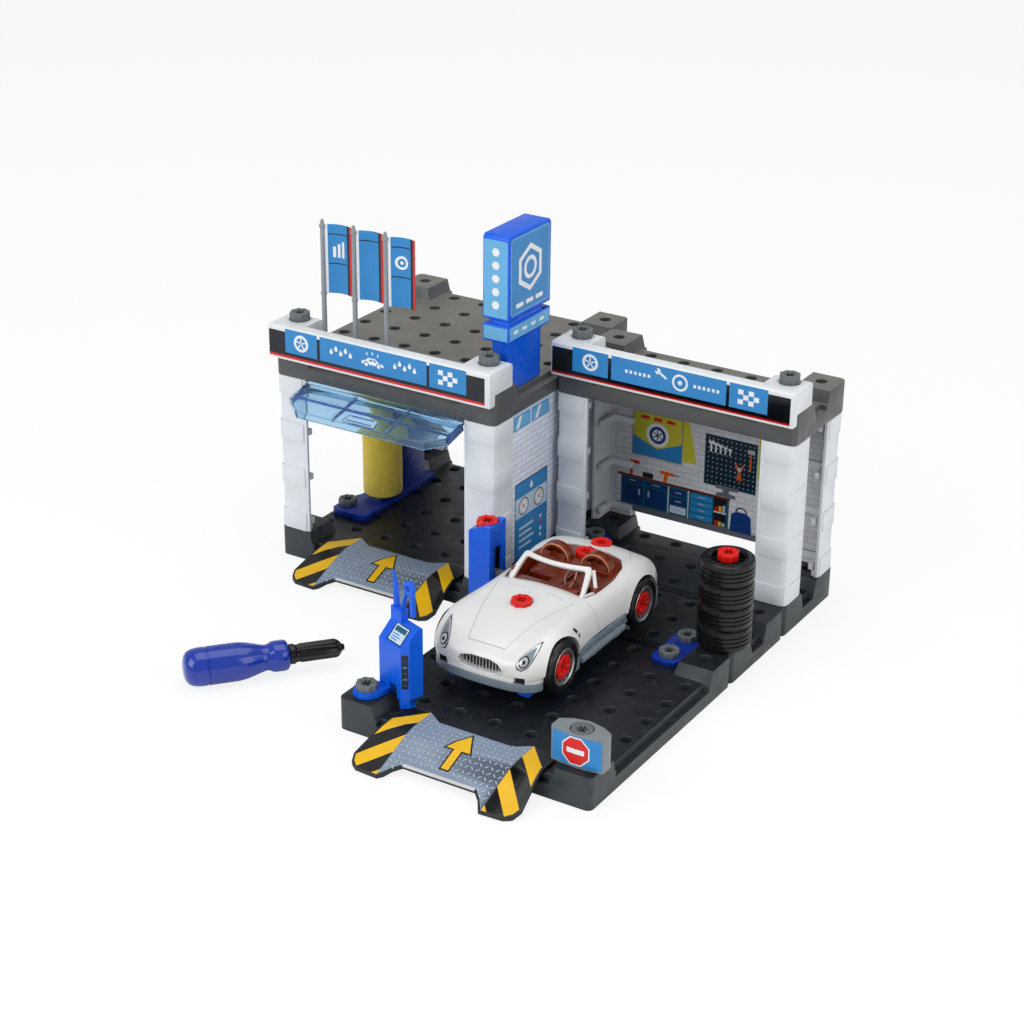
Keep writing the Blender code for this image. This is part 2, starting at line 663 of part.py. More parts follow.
def tool_column():
    px, py = hole_at(0.0, FRONT_Y, 0, 0)
    low = BLOCK_TOP + GAP
    pivot = (px, py, low)

    def at(points):
        return [(px + a, py + b) for a, b in points]

    def placed(bm):
        return turn(bm, pivot, "z", TOOL_TURN)

    item = node("tool_column", "blue",
                placed(prism(at([(-2.6, 12.1), (21.2, 12.1), (24.9, 16.8), (24.9, 27.5), (-2.6, 27.5)]), low, 84.0)))
    slope = prism([(py + 8.0, 57.0), (py + 12.1, 61.0), (py + 23.0, 73.2), (py + 30.0, 73.2),
                   (py + 30.0, 90.0), (py + 8.0, 90.0)], px - 8, px + 30, "x")
    cut(item, placed(slope))
    cut(item, placed(box(px + 8.5, px + 17.0, py + 8, py + 32, low - 2, 33.0)))
    cut(item, placed(box(px - 6, px + 9.1, py + 17.0, py + 32, low - 2, low + 3.4)))
    fuse(item, placed(prism(at([(19.0, 12.6), (21.0, 12.6), (24.4, 16.9), (24.4, 22.0), (19.0, 22.0)]), 17.4, 40.0)))
    foot = [(9.4 * math.cos(math.radians(a)), 9.4 * math.sin(math.radians(a))) for a in range(170, 371, 40)]
    foot = foot + [(9.0, 14.0), (-2.2, 14.0)]
    fuse(item, placed(prism(at(foot), low, low + 3.8)))
    fuse(item, placed(head_on(px, py, low + 3.0, low + 8.6)))
    fuse(item, placed(prism(circle(px, py, HOLE_R - PIN_GAP, HOLE_SIDES, -TOOL_TURN), low - 8, low + 2)))
    fuse(item, placed(box(px - 2.0, px + 9.5, py + 21.5, py + 27.2, 70.0, 81.5)))
    fuse(item, placed(prism(circle(px + 0.9, py + 24.3, 2.1, 6), 79.0, 96.0,
                            far=circle(px + 0.2, py + 24.3, 1.9, 6))))
    fuse(item, placed(prism(circle(px + 0.22, py + 24.3, 1.8, 6), 95.2, 106.0,
                            far=circle(px - 2.4, py + 24.3, 0.7, 6))))
    fuse(item, placed(prism(circle(px + 6.6, py + 24.3, 1.6, 6), 79.0, 96.5,
                            far=circle(px + 12.6, py + 24.3, 1.6, 6))))
    jaw = ring([(4.9, -1.5), (4.9, 1.5), (2.3, 1.5), (2.3, -1.5)], 10, px + 15.2, 99.6, "y")
    for vert in jaw.verts:
        vert.co.y = vert.co.y + py + 24.3
    fuse(item, placed(jaw))
    fuse(item, placed(prism([(px + 16.6, 96.2), (px + 19.8, 98.0), (px + 20.4, 80.5), (px + 17.6, 80.5)],
                            py + 22.9, py + 25.7, "y")))
    return item


def wheel_ring(cx, cy, low, axis, radius, wide, bore):
    r = radius
    w = wide
    profile = [(bore, 0.0), (r * 0.8, 0.0), (r, w * 0.18), (r, w * 0.82), (r - 2.0, w * 0.95),
               (r * 0.66, w * 0.95), (r * 0.6, w * 0.84), (bore, w * 0.84)]
    return ring([(a, low + b) for a, b in profile], 14, cx, cy, axis)


def spare_wheels():
    cx, cy = hole_at(0.0, MID_Y, 6, 0)
    base = BLOCK_TOP + GAP
    step = 16.4
    for k in range(4):
        low = base + step * k
        node("spare_wheel_" + str(k + 1), "tyre", wheel_ring(cx, cy, low, "z", TYRE_R + 0.4, 16.4 - GAP, SHANK_R + PIN_GAP),
             (cx, cy, low))
    seat = base + step * 3 + (16.4 - GAP) * 0.84 + GAP
    node("spare_bolt", "red", screw_body(cx, cy, seat, HEAD_R, HEAD_HIGH, SHANK_R, 14.0), (cx, cy, seat))


# The car is drawn standing on the deck and then set on the fork of the lift.
def car():
    known = set(bpy.data.objects)
    cx = CAR_X
    half = CAR_HALF - 1.6
    side = [(69.0, BODY_LOW), (241.0, BODY_LOW), (243.5, 40.0), (242.0, 52.5), (236.0, 58.0), (222.0, 60.4),
            (200.0, 60.6), (150.0, 59.4), (140.0, 61.4), (118.0, 60.4), (96.0, 56.0), (80.0, 49.6), (71.0, 42.0)]
    body = node("car_body", "body", prism(side, cx - 60, cx + 60, "x"))
    plan = [(cx - 31, 68.0), (cx + 31, 68.0), (cx + 39, 72.0), (cx + half, 84.0), (cx + half, 124.0),
            (cx + half - 2.4, 140.0), (cx + half - 2.4, 170.0), (cx + half, 186.0), (cx + half, 226.0),
            (cx + half - 6, 238.0), (cx + 30, 244.0), (cx - 30, 244.0), (cx - half + 6, 238.0),
            (cx - half, 226.0), (cx - half, 186.0), (cx - half + 2.4, 170.0), (cx - half + 2.4, 140.0),
            (cx - half, 124.0), (cx - half, 84.0), (cx - 39, 72.0)]
    keep_common(body, prism(plan, 20, 90))
    shoulder = [(cx - 60, 20.0), (cx + 60, 20.0), (cx + 60, 36.0), (cx + half + 0.5, 44.0), (cx + half - 3.5, 54.0),
                (cx + half - 12.0, 62.0), (cx - half + 12.0, 62.0), (cx - half + 3.5, 54.0),
                (cx - half - 0.5, 44.0), (cx - 60, 36.0)]
    keep_common(body, prism(shoulder, 50, 260, "y"))
    under = prism([(cx - 30.6, 28.0), (cx + 30.6, 28.0), (cx + 30.6, 44.0), (cx - 30.6, 44.0)], 84.0, 230.0, "y")
    cut(body, under)
    cut(body, box(cx - 34.0, cx + 34.0, 145.0, 214.0, 40.0, 70.0))
    arches = []
    for y in (AXLE_FRONT, AXLE_REAR):
        for sx in (-1, 1):
            inner = cx + sx * (CAR_HALF - TYRE_W - 1.4)
            outer = cx + sx * 60
            arches.append(prism(circle(y, AXLE_Z, TYRE_R + 1.9, 16), min(inner, outer), max(inner, outer), "x"))
    cut(body, *arches)
    frame_out = prism([(cx - 33.5, 58.0), (cx + 33.5, 58.0), (cx + 28.5, 75.6), (cx + 24.5, 77.6),
                       (cx - 24.5, 77.6), (cx - 28.5, 75.6)], 120, 190, "y")
    rake = prism([(139.4, 58.0), (142.6, 58.0), (159.6, 77.9), (156.0, 77.9)], cx - 40, cx + 40, "x")
    frame = node("car_windscreen", "body", frame_out)
    keep_common(frame, rake)
    cut(frame, prism([(cx - 29.3, 63.0), (cx + 29.3, 63.0), (cx + 25.8, 73.8), (cx - 25.8, 73.8)], 110, 200, "y"))
    keep_common(frame, prism([(120.0, 61.2), (200.0, 61.2), (200.0, 90.0), (120.0, 90.0)], cx - 50, cx + 50, "x"))
    tub = node("car_interior", "brown", box(cx - 33.6, cx + 33.6, 145.4, 213.6, 44.4, 60.4))
    cut(tub, prism([(158.0, 62.0), (162.0, 50.0), (186.0, 50.0), (188.0, 62.0)], cx - 31.0, cx + 31.0, "x"))
    cut(tub, box(cx - 40.0, cx - 30.9, 186.5, 216.0, 40.0, 54.0), box(cx + 30.9, cx + 40.0, 186.5, 216.0, 40.0, 54.0))
    seats = []
    for sx in (-1, 1):
        mid = cx + sx * 16.5
        hoop = [(mid - 12.0, 58.0), (mid + 12.0, 58.0), (mid + 12.0, 63.5), (mid + 9.0, 68.6), (mid + 4.5, 70.6),
                (mid - 4.5, 70.6), (mid - 9.0, 68.6), (mid - 12.0, 63.5)]
        fuse(tub, prism(hoop, 190.0, 196.4, "y"))
        seats.append(prism([(mid - 7.6, 61.5), (mid + 7.6, 61.5), (mid + 7.2, 64.6), (mid + 3.8, 67.0),
                            (mid - 3.8, 67.0), (mid - 7.2, 64.6)], 186.0, 200.0, "y"))
        fuse(tub, box(mid - 10.5, mid + 10.5, 176.0, 187.6, 49.0, 54.6))
    cut(tub, *seats)
    cut(tub, prism(circle(cx, 205.0, SHANK_R + PIN_GAP, 8), 50.0, 66.0))
    cut(body, prism(circle(cx, 120.0, SHANK_R + PIN_GAP, 8), 50.0, 66.0),
        prism(circle(cx, 227.0, SHANK_R + PIN_GAP, 8), 50.0, 66.0))
    cut(body, prism(circle(cx, 120.0, HEAD_R + 0.9, 12), 58.6, 66.0),
        prism(circle(cx, 227.0, HEAD_R + 0.9, 12), 58.0, 66.0))
    node("car_hood_bolt", "red", screw_body(cx, 120.0, 58.6 + GAP, HEAD_R, 3.6, SHANK_R, 51.0))
    node("car_trunk_bolt", "red", screw_body(cx, 227.0, 58.0 + GAP, HEAD_R, 3.6, SHANK_R, 51.0))
    node("car_seat_bolt", "red", screw_body(cx, 205.0, 60.4 + GAP, HEAD_R - 0.1, 3.2, SHANK_R, 51.0))
    base = [(cx - 32, 66.0), (cx + 32, 66.0), (cx + 41, 70.5), (cx + half - 1, 78.0), (cx + half - 1, 232.0),
            (cx + 38, 242.0), (cx + 30, 246.0), (cx - 30, 246.0), (cx - 38, 242.0), (cx - half + 1, 232.0),
            (cx - half + 1, 78.0), (cx - 41, 70.5)]
    chassis = node("car_chassis", "grey", prism(base, 20.6, BODY_LOW - GAP))
    cut(chassis, box(cx - 60, cx + 60, 124.0, 190.0, 10, CHASSIS_LOW))
    cut(chassis, box(cx - 29.0, cx + 29.0, 84.0, 226.0, 10, CHASSIS_LOW))
    wells = []
    for y in (AXLE_FRONT, AXLE_REAR):
        for sx in (-1, 1):
            inner = cx + sx * (CAR_HALF - TYRE_W - 1.2)
            outer = cx + sx * 60
            wells.append(prism(circle(y, AXLE_Z, TYRE_R + 2.1, 16), min(inner, outer), max(inner, outer), "x"))
    cut(chassis, *wells)
    for y in (AXLE_FRONT, AXLE_REAR):
        fuse(chassis, box(cx - 30.0, cx + 30.0, y - 7.0, y + 7.0, 28.0, 42.6))
    bores = []
    for y in (AXLE_FRONT, AXLE_REAR):
        for sx in (-1, 1):
            ends = sorted((cx + sx * 20.0, cx + sx * 40.0))
            bores.append(prism(circle(y, AXLE_Z, 2.8 + PIN_GAP, 8), ends[0], ends[1], "x"))
    cut(chassis, *bores)
    for sx in (-1, 1):
        x = cx + sx * (half - 1.6)
        fuse(chassis, prism(circle(x, 26.6, 3.2, 8), 126.5, 181.5, "y"))
    for label, y, sx in (("front_left", AXLE_FRONT, -1), ("front_right", AXLE_FRONT, 1),
                         ("rear_left", AXLE_REAR, -1), ("rear_right", AXLE_REAR, 1)):
        inner = CAR_HALF - TYRE_W
        shape = wheel_ring(y, AXLE_Z, cx + inner, "x", TYRE_R, TYRE_W, 4.0)
        hub = prism(circle(y, AXLE_Z, 5.0, 8), cx + inner + 0.8, cx + CAR_HALF - 0.9, "x")
        stub = prism(circle(y, AXLE_Z, 2.8, 8), cx + 22.0, cx + inner + 4, "x")
        if sx < 0:
            shape = flip_x(shape, cx)
            hub = flip_x(hub, cx)
            stub = flip_x(stub, cx)
        tyre = node("car_wheel_" + label, "tyre", shape, (cx + sx * (CAR_HALF - TYRE_W / 2), y, AXLE_Z))
        fuse(tyre, hub, stub)
    dx, dy, dz = CAR_SHIFT
    for item in bpy.data.objects:
        if item not in known:
            item.location.x += dx * MM
            item.location.y += dy * MM
            item.location.z += dz * MM
    return body


# Toy screwdriver that lies on the floor in front of the wash.
def screwdriver():
    ax, ay = -121.0, -12.0
    length = 118.0
    angle = 49.4
    lift_z = GAP + 13.4
    handle = [(8.5, 0.0), (12.4, 4.5), (13.4, 13.0), (13.4, 40.0), (8.8, 57.0), (10.8, 63.0), (10.8, 70.0),
              (9.0, 72.5)]

    def turned(profile, count, start):
        bm = bmesh.new()
        loops = []
        for radius, along in profile:
            loop = []
            for k in range(count):
                theta = 2 * math.pi * k / count
                loop.append(bm.verts.new((start + along, radius * math.cos(theta), radius * math.sin(theta))))
            loops.append(loop)
        bm.faces.new(loops[0])
        bm.faces.new(loops[-1])
        for one, two in zip(loops, loops[1:]):
            for k in range(count):
                j = (k + 1) % count
                bm.faces.new((one[k], one[j], two[j], two[k]))
        bmesh.ops.recalc_face_normals(bm, faces=bm.faces)
        turn(bm, (0, 0, 0), "z", angle)
        for vert in bm.verts:
            vert.co.x = vert.co.x + ax
            vert.co.y = vert.co.y + ay
            vert.co.z = vert.co.z + lift_z
        return bm

    grip = node("screwdriver_handle", "blue", turned(handle, 16, 0.0))
    cut(grip, turned([(4.4, 50.0), (4.4, 80.0)], 12, 0.0))
    shaft = [(4.0, 51.0), (4.0, 73.0), (7.2, 73.0), (7.2, 77.0), (6.0, 79.0), (6.6, 82.0), (6.6, 106.0),
             (5.4, 108.5), (2.2, 112.0)]
    node("screwdriver_shaft", "black", turned(shaft, 12, 0.0))
    return grip


def wall_panels():
    low = BLOCK_TOP + GAP + PANEL_FOOT + GAP
    near = PILLAR_WALL + GAP
    inset = 10.0
    top = ROOF_Z - GAP - 0.3
    y1 = BAY_Y + DEPTH_NARROW
    node("wall_bay", "print", box(inset, PLATE_W - inset, y1 - near - PANEL_THICK, y1 - near, low, top))
    x1 = WASH_X + PLATE_W
    item = node("wall_wash", "print", box(x1 - near - PANEL_THICK, x1 - near, WASH_Y + inset,
                                          WASH_Y + DEPTH_LARGE - inset, low, top))
    return item


clear_scene()
plate("plate_front", "plate", 0.0, FRONT_Y, 0.0, DEPTH_LARGE)
plate("plate_wash", "plate", WASH_X, WASH_Y, 0.0, DEPTH_LARGE)
plate("plate_middle", "plate", 0.0, MID_Y, 0.0, DEPTH_NARROW)
plate("plate_bay", "plate", 0.0, BAY_Y, 0.0, DEPTH_NARROW)
plate("roof_wash", "roof", WASH_X, WASH_Y, ROOF_Z, DEPTH_LARGE)
plate("roof_bay", "roof", 0.0, BAY_Y, ROOF_Z, DEPTH_NARROW)
for place_name, x0, y0, depth in (("wash", WASH_X, WASH_Y, DEPTH_LARGE), ("bay", 0.0, BAY_Y, DEPTH_NARROW)):
    pillar("pillar_" + place_name + "_front_left", x0, y0, -1, -1)
    pillar("pillar_" + place_name + "_front_right", x0 + PLATE_W, y0, 1, -1)
    pillar("pillar_" + place_name + "_rear_left", x0, y0 + depth, -1, 1)
    pillar("pillar_" + place_name + "_rear_right", x0 + PLATE_W, y0 + depth, 1, 1)
fascia("fascia_wash", WASH_X, WASH_Y)
fascia("fascia_bay", 0.0, BAY_Y)
wall_panels()
flap("door_front", WASH_Y, True)
flap("door_rear", WASH_Y, False)
wash_brush("left", True)
wash_brush("right", False)
pylon()
flag("flag_one", 1)
flag("flag_two", 2)
flag("flag_three", 3)
seam_x, seam_y = hole_at(0.0, MID_Y, 5, 0)
joiner("joiner_floor", seam_x, seam_y - PITCH, seam_x, seam_y, DECK)
side_x, side_y = hole_at(0.0, BAY_Y, 0, 1)
joiner("joiner_base", side_x - PITCH, side_y, side_x, side_y, DECK, 10.6, 9.2, 2.8)
joiner("joiner_roof", side_x - PITCH, side_y, side_x, side_y, ROOF_Z + DECK, 10.6, 9.2)
ramp("ramp_wash", WASH_X + PLATE_W / 2, WASH_Y)
ramp("ramp_front", PLATE_W / 2, FRONT_Y)
stop_block()
lift()
tool_column()
spare_wheels()
car()
screwdriver()
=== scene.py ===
import math
import bmesh
import bpy
from mathutils import Matrix, Vector


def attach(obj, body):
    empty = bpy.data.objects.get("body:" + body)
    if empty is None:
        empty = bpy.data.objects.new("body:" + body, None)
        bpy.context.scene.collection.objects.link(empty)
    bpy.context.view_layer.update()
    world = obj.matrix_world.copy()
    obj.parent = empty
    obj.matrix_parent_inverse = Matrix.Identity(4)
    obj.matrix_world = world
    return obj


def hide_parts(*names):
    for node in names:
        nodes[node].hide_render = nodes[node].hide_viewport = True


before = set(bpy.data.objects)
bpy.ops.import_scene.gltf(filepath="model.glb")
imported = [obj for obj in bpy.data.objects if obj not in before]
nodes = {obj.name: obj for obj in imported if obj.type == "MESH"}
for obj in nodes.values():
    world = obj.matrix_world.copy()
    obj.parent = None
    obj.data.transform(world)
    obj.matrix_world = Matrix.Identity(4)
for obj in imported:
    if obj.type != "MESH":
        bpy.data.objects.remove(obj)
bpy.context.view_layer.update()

# The pieces are drawn in millimetres on the station's own plan: x 0 and y 0 are the
# front left corner of the driveway plate.
planCentre = (2.6, 187.16)
toMetres = Matrix.Scale(0.001, 4) @ Matrix.Translation((-planCentre[0], -planCentre[1], 0.0))
toPlan = toMetres.inverted()

plan = {
    "pitch": 27.3, "edge": 13.5, "wide": 190.8, "deep": 190.8, "narrow": 81.6,
    "deck": 14.3, "block": 23.6, "roof": 147.0, "columns": 7,
    "washX": -191.1, "midY": 191.1, "bayY": 273.0,
}
# From the car's place on the deck, where it is drawn, to its place on the fork of the lift.
carShift = (8.0, -13.4, 8.0)
# Corners closer than this are welded, in a copy of a CAD node and in a finished piece.
weld = {"copy": 0.004, "piece": 0.0008}


def spot(axis, a, b, t):
    if axis == "z":
        return Vector((a, b, t))
    if axis == "x":
        return Vector((t, a, b))
    return Vector((a, t, b))


def slab(bm, outline, low, high, axis="z", paint=0):
    corners = [bm.verts.new(spot(axis, a, b, low)) for a, b in outline]
    face = bm.faces.new(corners)
    face.material_index = paint
    grown = bmesh.ops.extrude_face_region(bm, geom=[face])["geom"]
    moved = [v for v in grown if isinstance(v, bmesh.types.BMVert)]
    bmesh.ops.translate(bm, verts=moved, vec=spot(axis, 0, 0, high - low))
    fresh = corners + moved
    for each in {f for v in fresh for f in v.link_faces}:
        each.material_index = paint
    return fresh


def block(bm, x0, x1, y0, y1, z0, z1, paint=0):
    return slab(bm, [(x0, y0), (x1, y0), (x1, y1), (x0, y1)], z0, z1, "z", paint)


def roundedPlan(x0, x1, y0, y1, radius):
    line, steps = [], 6
    for cx, cy, start in ((x1 - radius, y0 + radius, -90), (x1 - radius, y1 - radius, 0),
                          (x0 + radius, y1 - radius, 90), (x0 + radius, y0 + radius, 180)):
        for k in range(steps + 1):
            angle = math.radians(start + 90 * k / steps)
            line.append((cx + radius * math.cos(angle), cy + radius * math.sin(angle)))
    return line


def disc(cx, cy, radius, count=28, turn=0.0):
    return [(cx + radius * math.cos(turn + 2 * math.pi * k / count),
             cy + radius * math.sin(turn + 2 * math.pi * k / count)) for k in range(count)]


# Rings on one axis, bridged in order: (radius, height) or (radius, height, lobe depth).
def stacked(bm, levels, centre=(0, 0, 0), axis="z", count=48, paint=0, closed=False):
    loops, lobes = [], 8
    for level in levels:
        radius, high = level[0], level[1]
        deep = level[2] if len(level) > 2 else 0.0
        ring = bmesh.ops.create_circle(bm, cap_ends=False, segments=count, radius=1.0)["verts"]
        edges = list({e for v in ring for e in v.link_edges})
        for v in ring:
            angle = math.atan2(v.co.y, v.co.x)
            r = radius + deep * math.cos(lobes * angle)
            v.co = (r * math.cos(angle), r * math.sin(angle), high)
        loops.append((ring, edges))
    faces = []
    pairs = list(zip(loops, loops[1:]))
    if closed:
        pairs.append((loops[-1], loops[0]))
    for one, two in pairs:
        faces += bmesh.ops.bridge_loops(bm, edges=one[1] + two[1])["faces"]
    if not closed:
        faces.append(bm.faces.new(loops[0][0]))
        faces.append(bm.faces.new(loops[-1][0]))
    for face in faces:
        face.material_index = paint
    fresh = [v for ring, edges in loops for v in ring]
    if axis == "x":
        bmesh.ops.rotate(bm, verts=fresh, cent=(0, 0, 0), matrix=Matrix.Rotation(math.radians(90), 3, "Y"))
    if axis == "y":
        bmesh.ops.rotate(bm, verts=fresh, cent=(0, 0, 0), matrix=Matrix.Rotation(math.radians(-90), 3, "X"))
    bmesh.ops.translate(bm, verts=fresh, vec=centre)
    return fresh


# Edges sharper than an angle in degrees get a rounded bevel.
def soften(bm, width, segments=2, above=28.0, where=None):
    sharp = [e for e in bm.edges if len(e.link_faces) == 2 and e.calc_face_angle(0.0) > math.radians(above)
             and (where is None or where(e))]
    if sharp:
        bmesh.ops.bevel(bm, geom=sharp, offset=width, offset_type="OFFSET", segments=segments, profile=0.5,
                        affect="EDGES", material=-1, clamp_overlap=True)
    return bm


def linked(name, data):
    item = bpy.data.objects.new(name, data)
    bpy.context.scene.collection.objects.link(item)
    return item


def meshOf(name, bm):
    mesh = bpy.data.meshes.new(name)
    bm.to_mesh(mesh)
    bm.free()
    return mesh


# The shape of the first object after its modifier; all the objects given are removed.
def shaped(*items):
    done = bpy.data.meshes.new_from_object(items[0].evaluated_get(bpy.context.evaluated_depsgraph_get()))
    result = bmesh.new()
    result.from_mesh(done)
    for item in items:
        mesh = item.data
        bpy.data.objects.remove(item)
        bpy.data.meshes.remove(mesh)
    bpy.data.meshes.remove(done)
    return result


# One bmesh cut by another; both are used up.
def carve(bm, tool):
    bmesh.ops.recalc_face_normals(bm, faces=bm.faces)
    bmesh.ops.recalc_face_normals(tool, faces=tool.faces)
    work, knife = linked("work", meshOf("work", bm)), linked("knife", meshOf("knife", tool))
    step = work.modifiers.new("carve", "BOOLEAN")
    step.operation, step.object, step.solver = "DIFFERENCE", knife, "EXACT"
    return shaped(work, knife)


# A bmesh after rounding by subdivision.
def smoothed(bm, levels):
    work = linked("work", meshOf("work", bm))
    rounder = work.modifiers.new("rounder", "SUBSURF")
    rounder.levels = rounder.render_levels = levels
    return shaped(work)


def copyOf(name):
    bm = bmesh.new()
    bm.from_mesh(nodes[name].data)
    bm.transform(toPlan)
    bmesh.ops.remove_doubles(bm, verts=bm.verts, dist=weld["copy"])
    for face in bm.faces:
        face.material_index = 0
    bmesh.ops.dissolve_limit(bm, angle_limit=math.radians(1.0), verts=bm.verts, edges=bm.edges,
                             use_dissolve_boundaries=False)
    return bm


# A piece in its materials, riding on a body; stands is the CAD node that it takes the place of.
def finish(name, bm, paints, body, stands="", sharp=30.0, recalc=True):
    bmesh.ops.remove_doubles(bm, verts=bm.verts, dist=weld["piece"])
    if recalc:
        bmesh.ops.recalc_face_normals(bm, faces=bm.faces)
    bm.transform(toMetres)
    mesh = meshOf(name, bm)
    mesh.shade_smooth()
    mesh.set_sharp_from_angle(angle=math.radians(sharp))
    for one in ((paints,) if isinstance(paints, str) else paints):
        mesh.materials.append(finishes[one])
    item = linked(name, mesh)
    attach(item, body)
    if stands:
        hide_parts(stands)
    return item


# A copy of a CAD node with its edges broken, for the plain moulded pieces.
def moulded(node, paint, body="station", width=0.45, segments=2, cutters=None, above=28.0):
    bm = copyOf(node)
    if cutters is not None:
        bm = carve(bm, cutters)
    soften(bm, width, segments, above)
    return finish(node + "_shell", bm, paint, body, node, recalc=False)


# Linear colour from 0 to 255 screen values.
def tone(red, green, blue):
    linear = (((c / 255 + 0.055) / 1.055) ** 2.4 if c > 10 else c / 255 / 12.92 for c in (red, green, blue))
    return (*linear, 1.0)


# One material being mixed: small helpers round its node tree.
class Recipe:
    def __init__(self, name, sheen=0.36):
        self.paint = bpy.data.materials.new(name)
        self.paint.use_nodes = True
        self.tree = self.paint.node_tree
        self.shader = self.tree.nodes["Principled BSDF"]
        self.shader.inputs["Specular IOR Level"].default_value = sheen
        self.place = self.add("ShaderNodeTexCoord").outputs["Object"]

    def add(self, kind, **settings):
        node = self.tree.nodes.new(kind)
        for key, value in settings.items():
            setattr(node, key, value)
        return node

    def plug(self, value, socket):
        if isinstance(value, bpy.types.NodeSocket):
            self.tree.links.new(value, socket)
        else:
            socket.default_value = value

    def put(self, node, values):
        for key, value in values.items():
            self.plug(value, node.inputs[key])
        return node

    def sums(self, operation, *values):
        node = self.add("ShaderNodeMath", operation=operation)
        for value, socket in zip(values, node.inputs):
            self.plug(value, socket)
        return node.outputs[0]

    def within(self, value, low, high):
        return self.sums("COMPARE", value, (low + high) / 2, (high - low) / 2)

    def noise(self, scale, detail=2.0, stretch=None, rough=0.5):
        place = self.moved(scale=stretch) if stretch else self.place
        node = self.put(self.add("ShaderNodeTexNoise"),
                        {"Scale": scale, "Detail": detail, "Roughness": rough, "Vector": place})
        return node.outputs[0]

    def moved(self, shift=(0, 0, 0), turn=(0, 0, 0), scale=(1, 1, 1)):
        node = self.put(self.add("ShaderNodeMapping"),
                        {"Location": shift, "Rotation": turn, "Scale": scale, "Vector": self.place})
        return node.outputs[0]

    def spread(self, value, low, high, start=0.0, end=1.0):
        node = self.add("ShaderNodeMapRange")
        for socket, one in zip(node.inputs, (value, low, high, start, end)):
            self.plug(one, socket)
        return node.outputs[0]

    def mix(self, mask, a, b):
        node = self.add("ShaderNodeMix", data_type="RGBA")
        for socket, one in zip((node.inputs[0], node.inputs[6], node.inputs[7]), (mask, a, b)):
            self.plug(one, socket)
        return node.outputs[2]

    def shaded(self, colour, value):
        return self.put(self.add("ShaderNodeHueSaturation"), {"Value": value, "Color": colour}).outputs[0]

    def axes(self):
        node = self.add("ShaderNodeSeparateXYZ")
        self.plug(self.place, node.inputs[0])
        return node.outputs

    def bump(self, height, strength, distance):
        node = self.put(self.add("ShaderNodeBump"),
                        {"Strength": strength, "Distance": distance, "Height": height})
        self.plug(node.outputs[0], self.shader.inputs["Normal"])


# Shaded colour, fine grain, light scuffs and uneven gloss: the base of every moulded finish.
def dress(recipe, colour, rough, mottle=0.06, grain=0.05, scuff=0.03, gloss=0.08, grainScale=1800.0):
    cloud = recipe.spread(recipe.noise(38.0, 3.0), 0.3, 0.7, 1.0 - mottle, 1.0 + mottle)
    shade = recipe.shaded(colour, cloud)
    marks = recipe.spread(recipe.noise(260.0, 5.0, (1.0, 0.35, 1.0), 0.65), 0.60, 0.74, 0.0, scuff)
    shade = recipe.mix(marks, shade, (0.75, 0.76, 0.78, 1.0))
    recipe.plug(shade, recipe.shader.inputs["Base Color"])
    patchy = recipe.spread(recipe.noise(90.0, 4.0), 0.3, 0.7,
                           max(0.04, rough - gloss), min(1.0, rough + gloss))
    recipe.plug(patchy, recipe.shader.inputs["Roughness"])
    recipe.bump(recipe.noise(grainScale, 2.0), grain, 0.0004)
    return recipe.paint


def plastic(name, colour, rough=0.4, **more):
    recipe = Recipe(name)
    for key in ("Coat Weight", "Coat Roughness", "Metallic"):
        if key in more:
            recipe.shader.inputs[key].default_value = more.pop(key)
    return dress(recipe, colour, rough, **more)


# Plates and roofs: the grey follows the face's slope, one grey for tops and one for sides; the difference
# between them is painted light and shade for how the lamps fall.
def platePaint(name, top, side, rough):
    recipe = Recipe(name)
    normal = recipe.add("ShaderNodeSeparateXYZ")
    recipe.plug(recipe.add("ShaderNodeNewGeometry").outputs["Normal"], normal.inputs[0])
    slopeShade = recipe.spread(normal.outputs[2], 0.55, 0.9)
    return dress(recipe, recipe.mix(slopeShade, side, top), rough, 0.08, 0.12, 0.05, 0.1, 1500.0)


def inkPaint(name):
    recipe = Recipe(name)
    recipe.put(recipe.shader, {"Coat Weight": 0.08, "Coat Roughness": 0.15})
    ink = recipe.add("ShaderNodeAttribute", attribute_name="ink").outputs["Color"]
    return dress(recipe, ink, 0.34, 0.05, 0.03, 0.02, 0.06, 900.0)


# Brick print; the two wide axes of the panel are turned to the texture's own x and y.
brickForm = {"Scale": 1.0, "Mortar Size": 0.26, "Mortar Smooth": 0.4, "Brick Width": 13.0, "Row Height": 4.4}


def brickPaint(name, turn, face, joint):
    recipe = Recipe(name)
    place = recipe.moved(turn=turn, scale=(1000.0, 1000.0, 1000.0))
    darker = tuple(c * 0.9 for c in face[:3]) + (1.0,)
    brick = recipe.put(recipe.add("ShaderNodeTexBrick", offset=0.5),
                       {"Vector": place, "Color1": face, "Color2": darker, "Mortar": joint, **brickForm})
    speck = recipe.spread(recipe.noise(420.0, 6.0, None, 0.75), 0.46, 0.66, 0.0, 0.3)
    worn = recipe.mix(speck, brick.outputs["Color"], (0.43, 0.46, 0.58, 1.0))
    return dress(recipe, worn, 0.42, 0.05, 0.05, 0.03)


def clearPaint(name, colour, rough=0.06):
    recipe = Recipe(name)
    recipe.put(recipe.shader, {"Transmission Weight": 0.93, "IOR": 1.30})
    return dress(recipe, colour, rough, 0.03, 0.01, 0.01, 0.02)
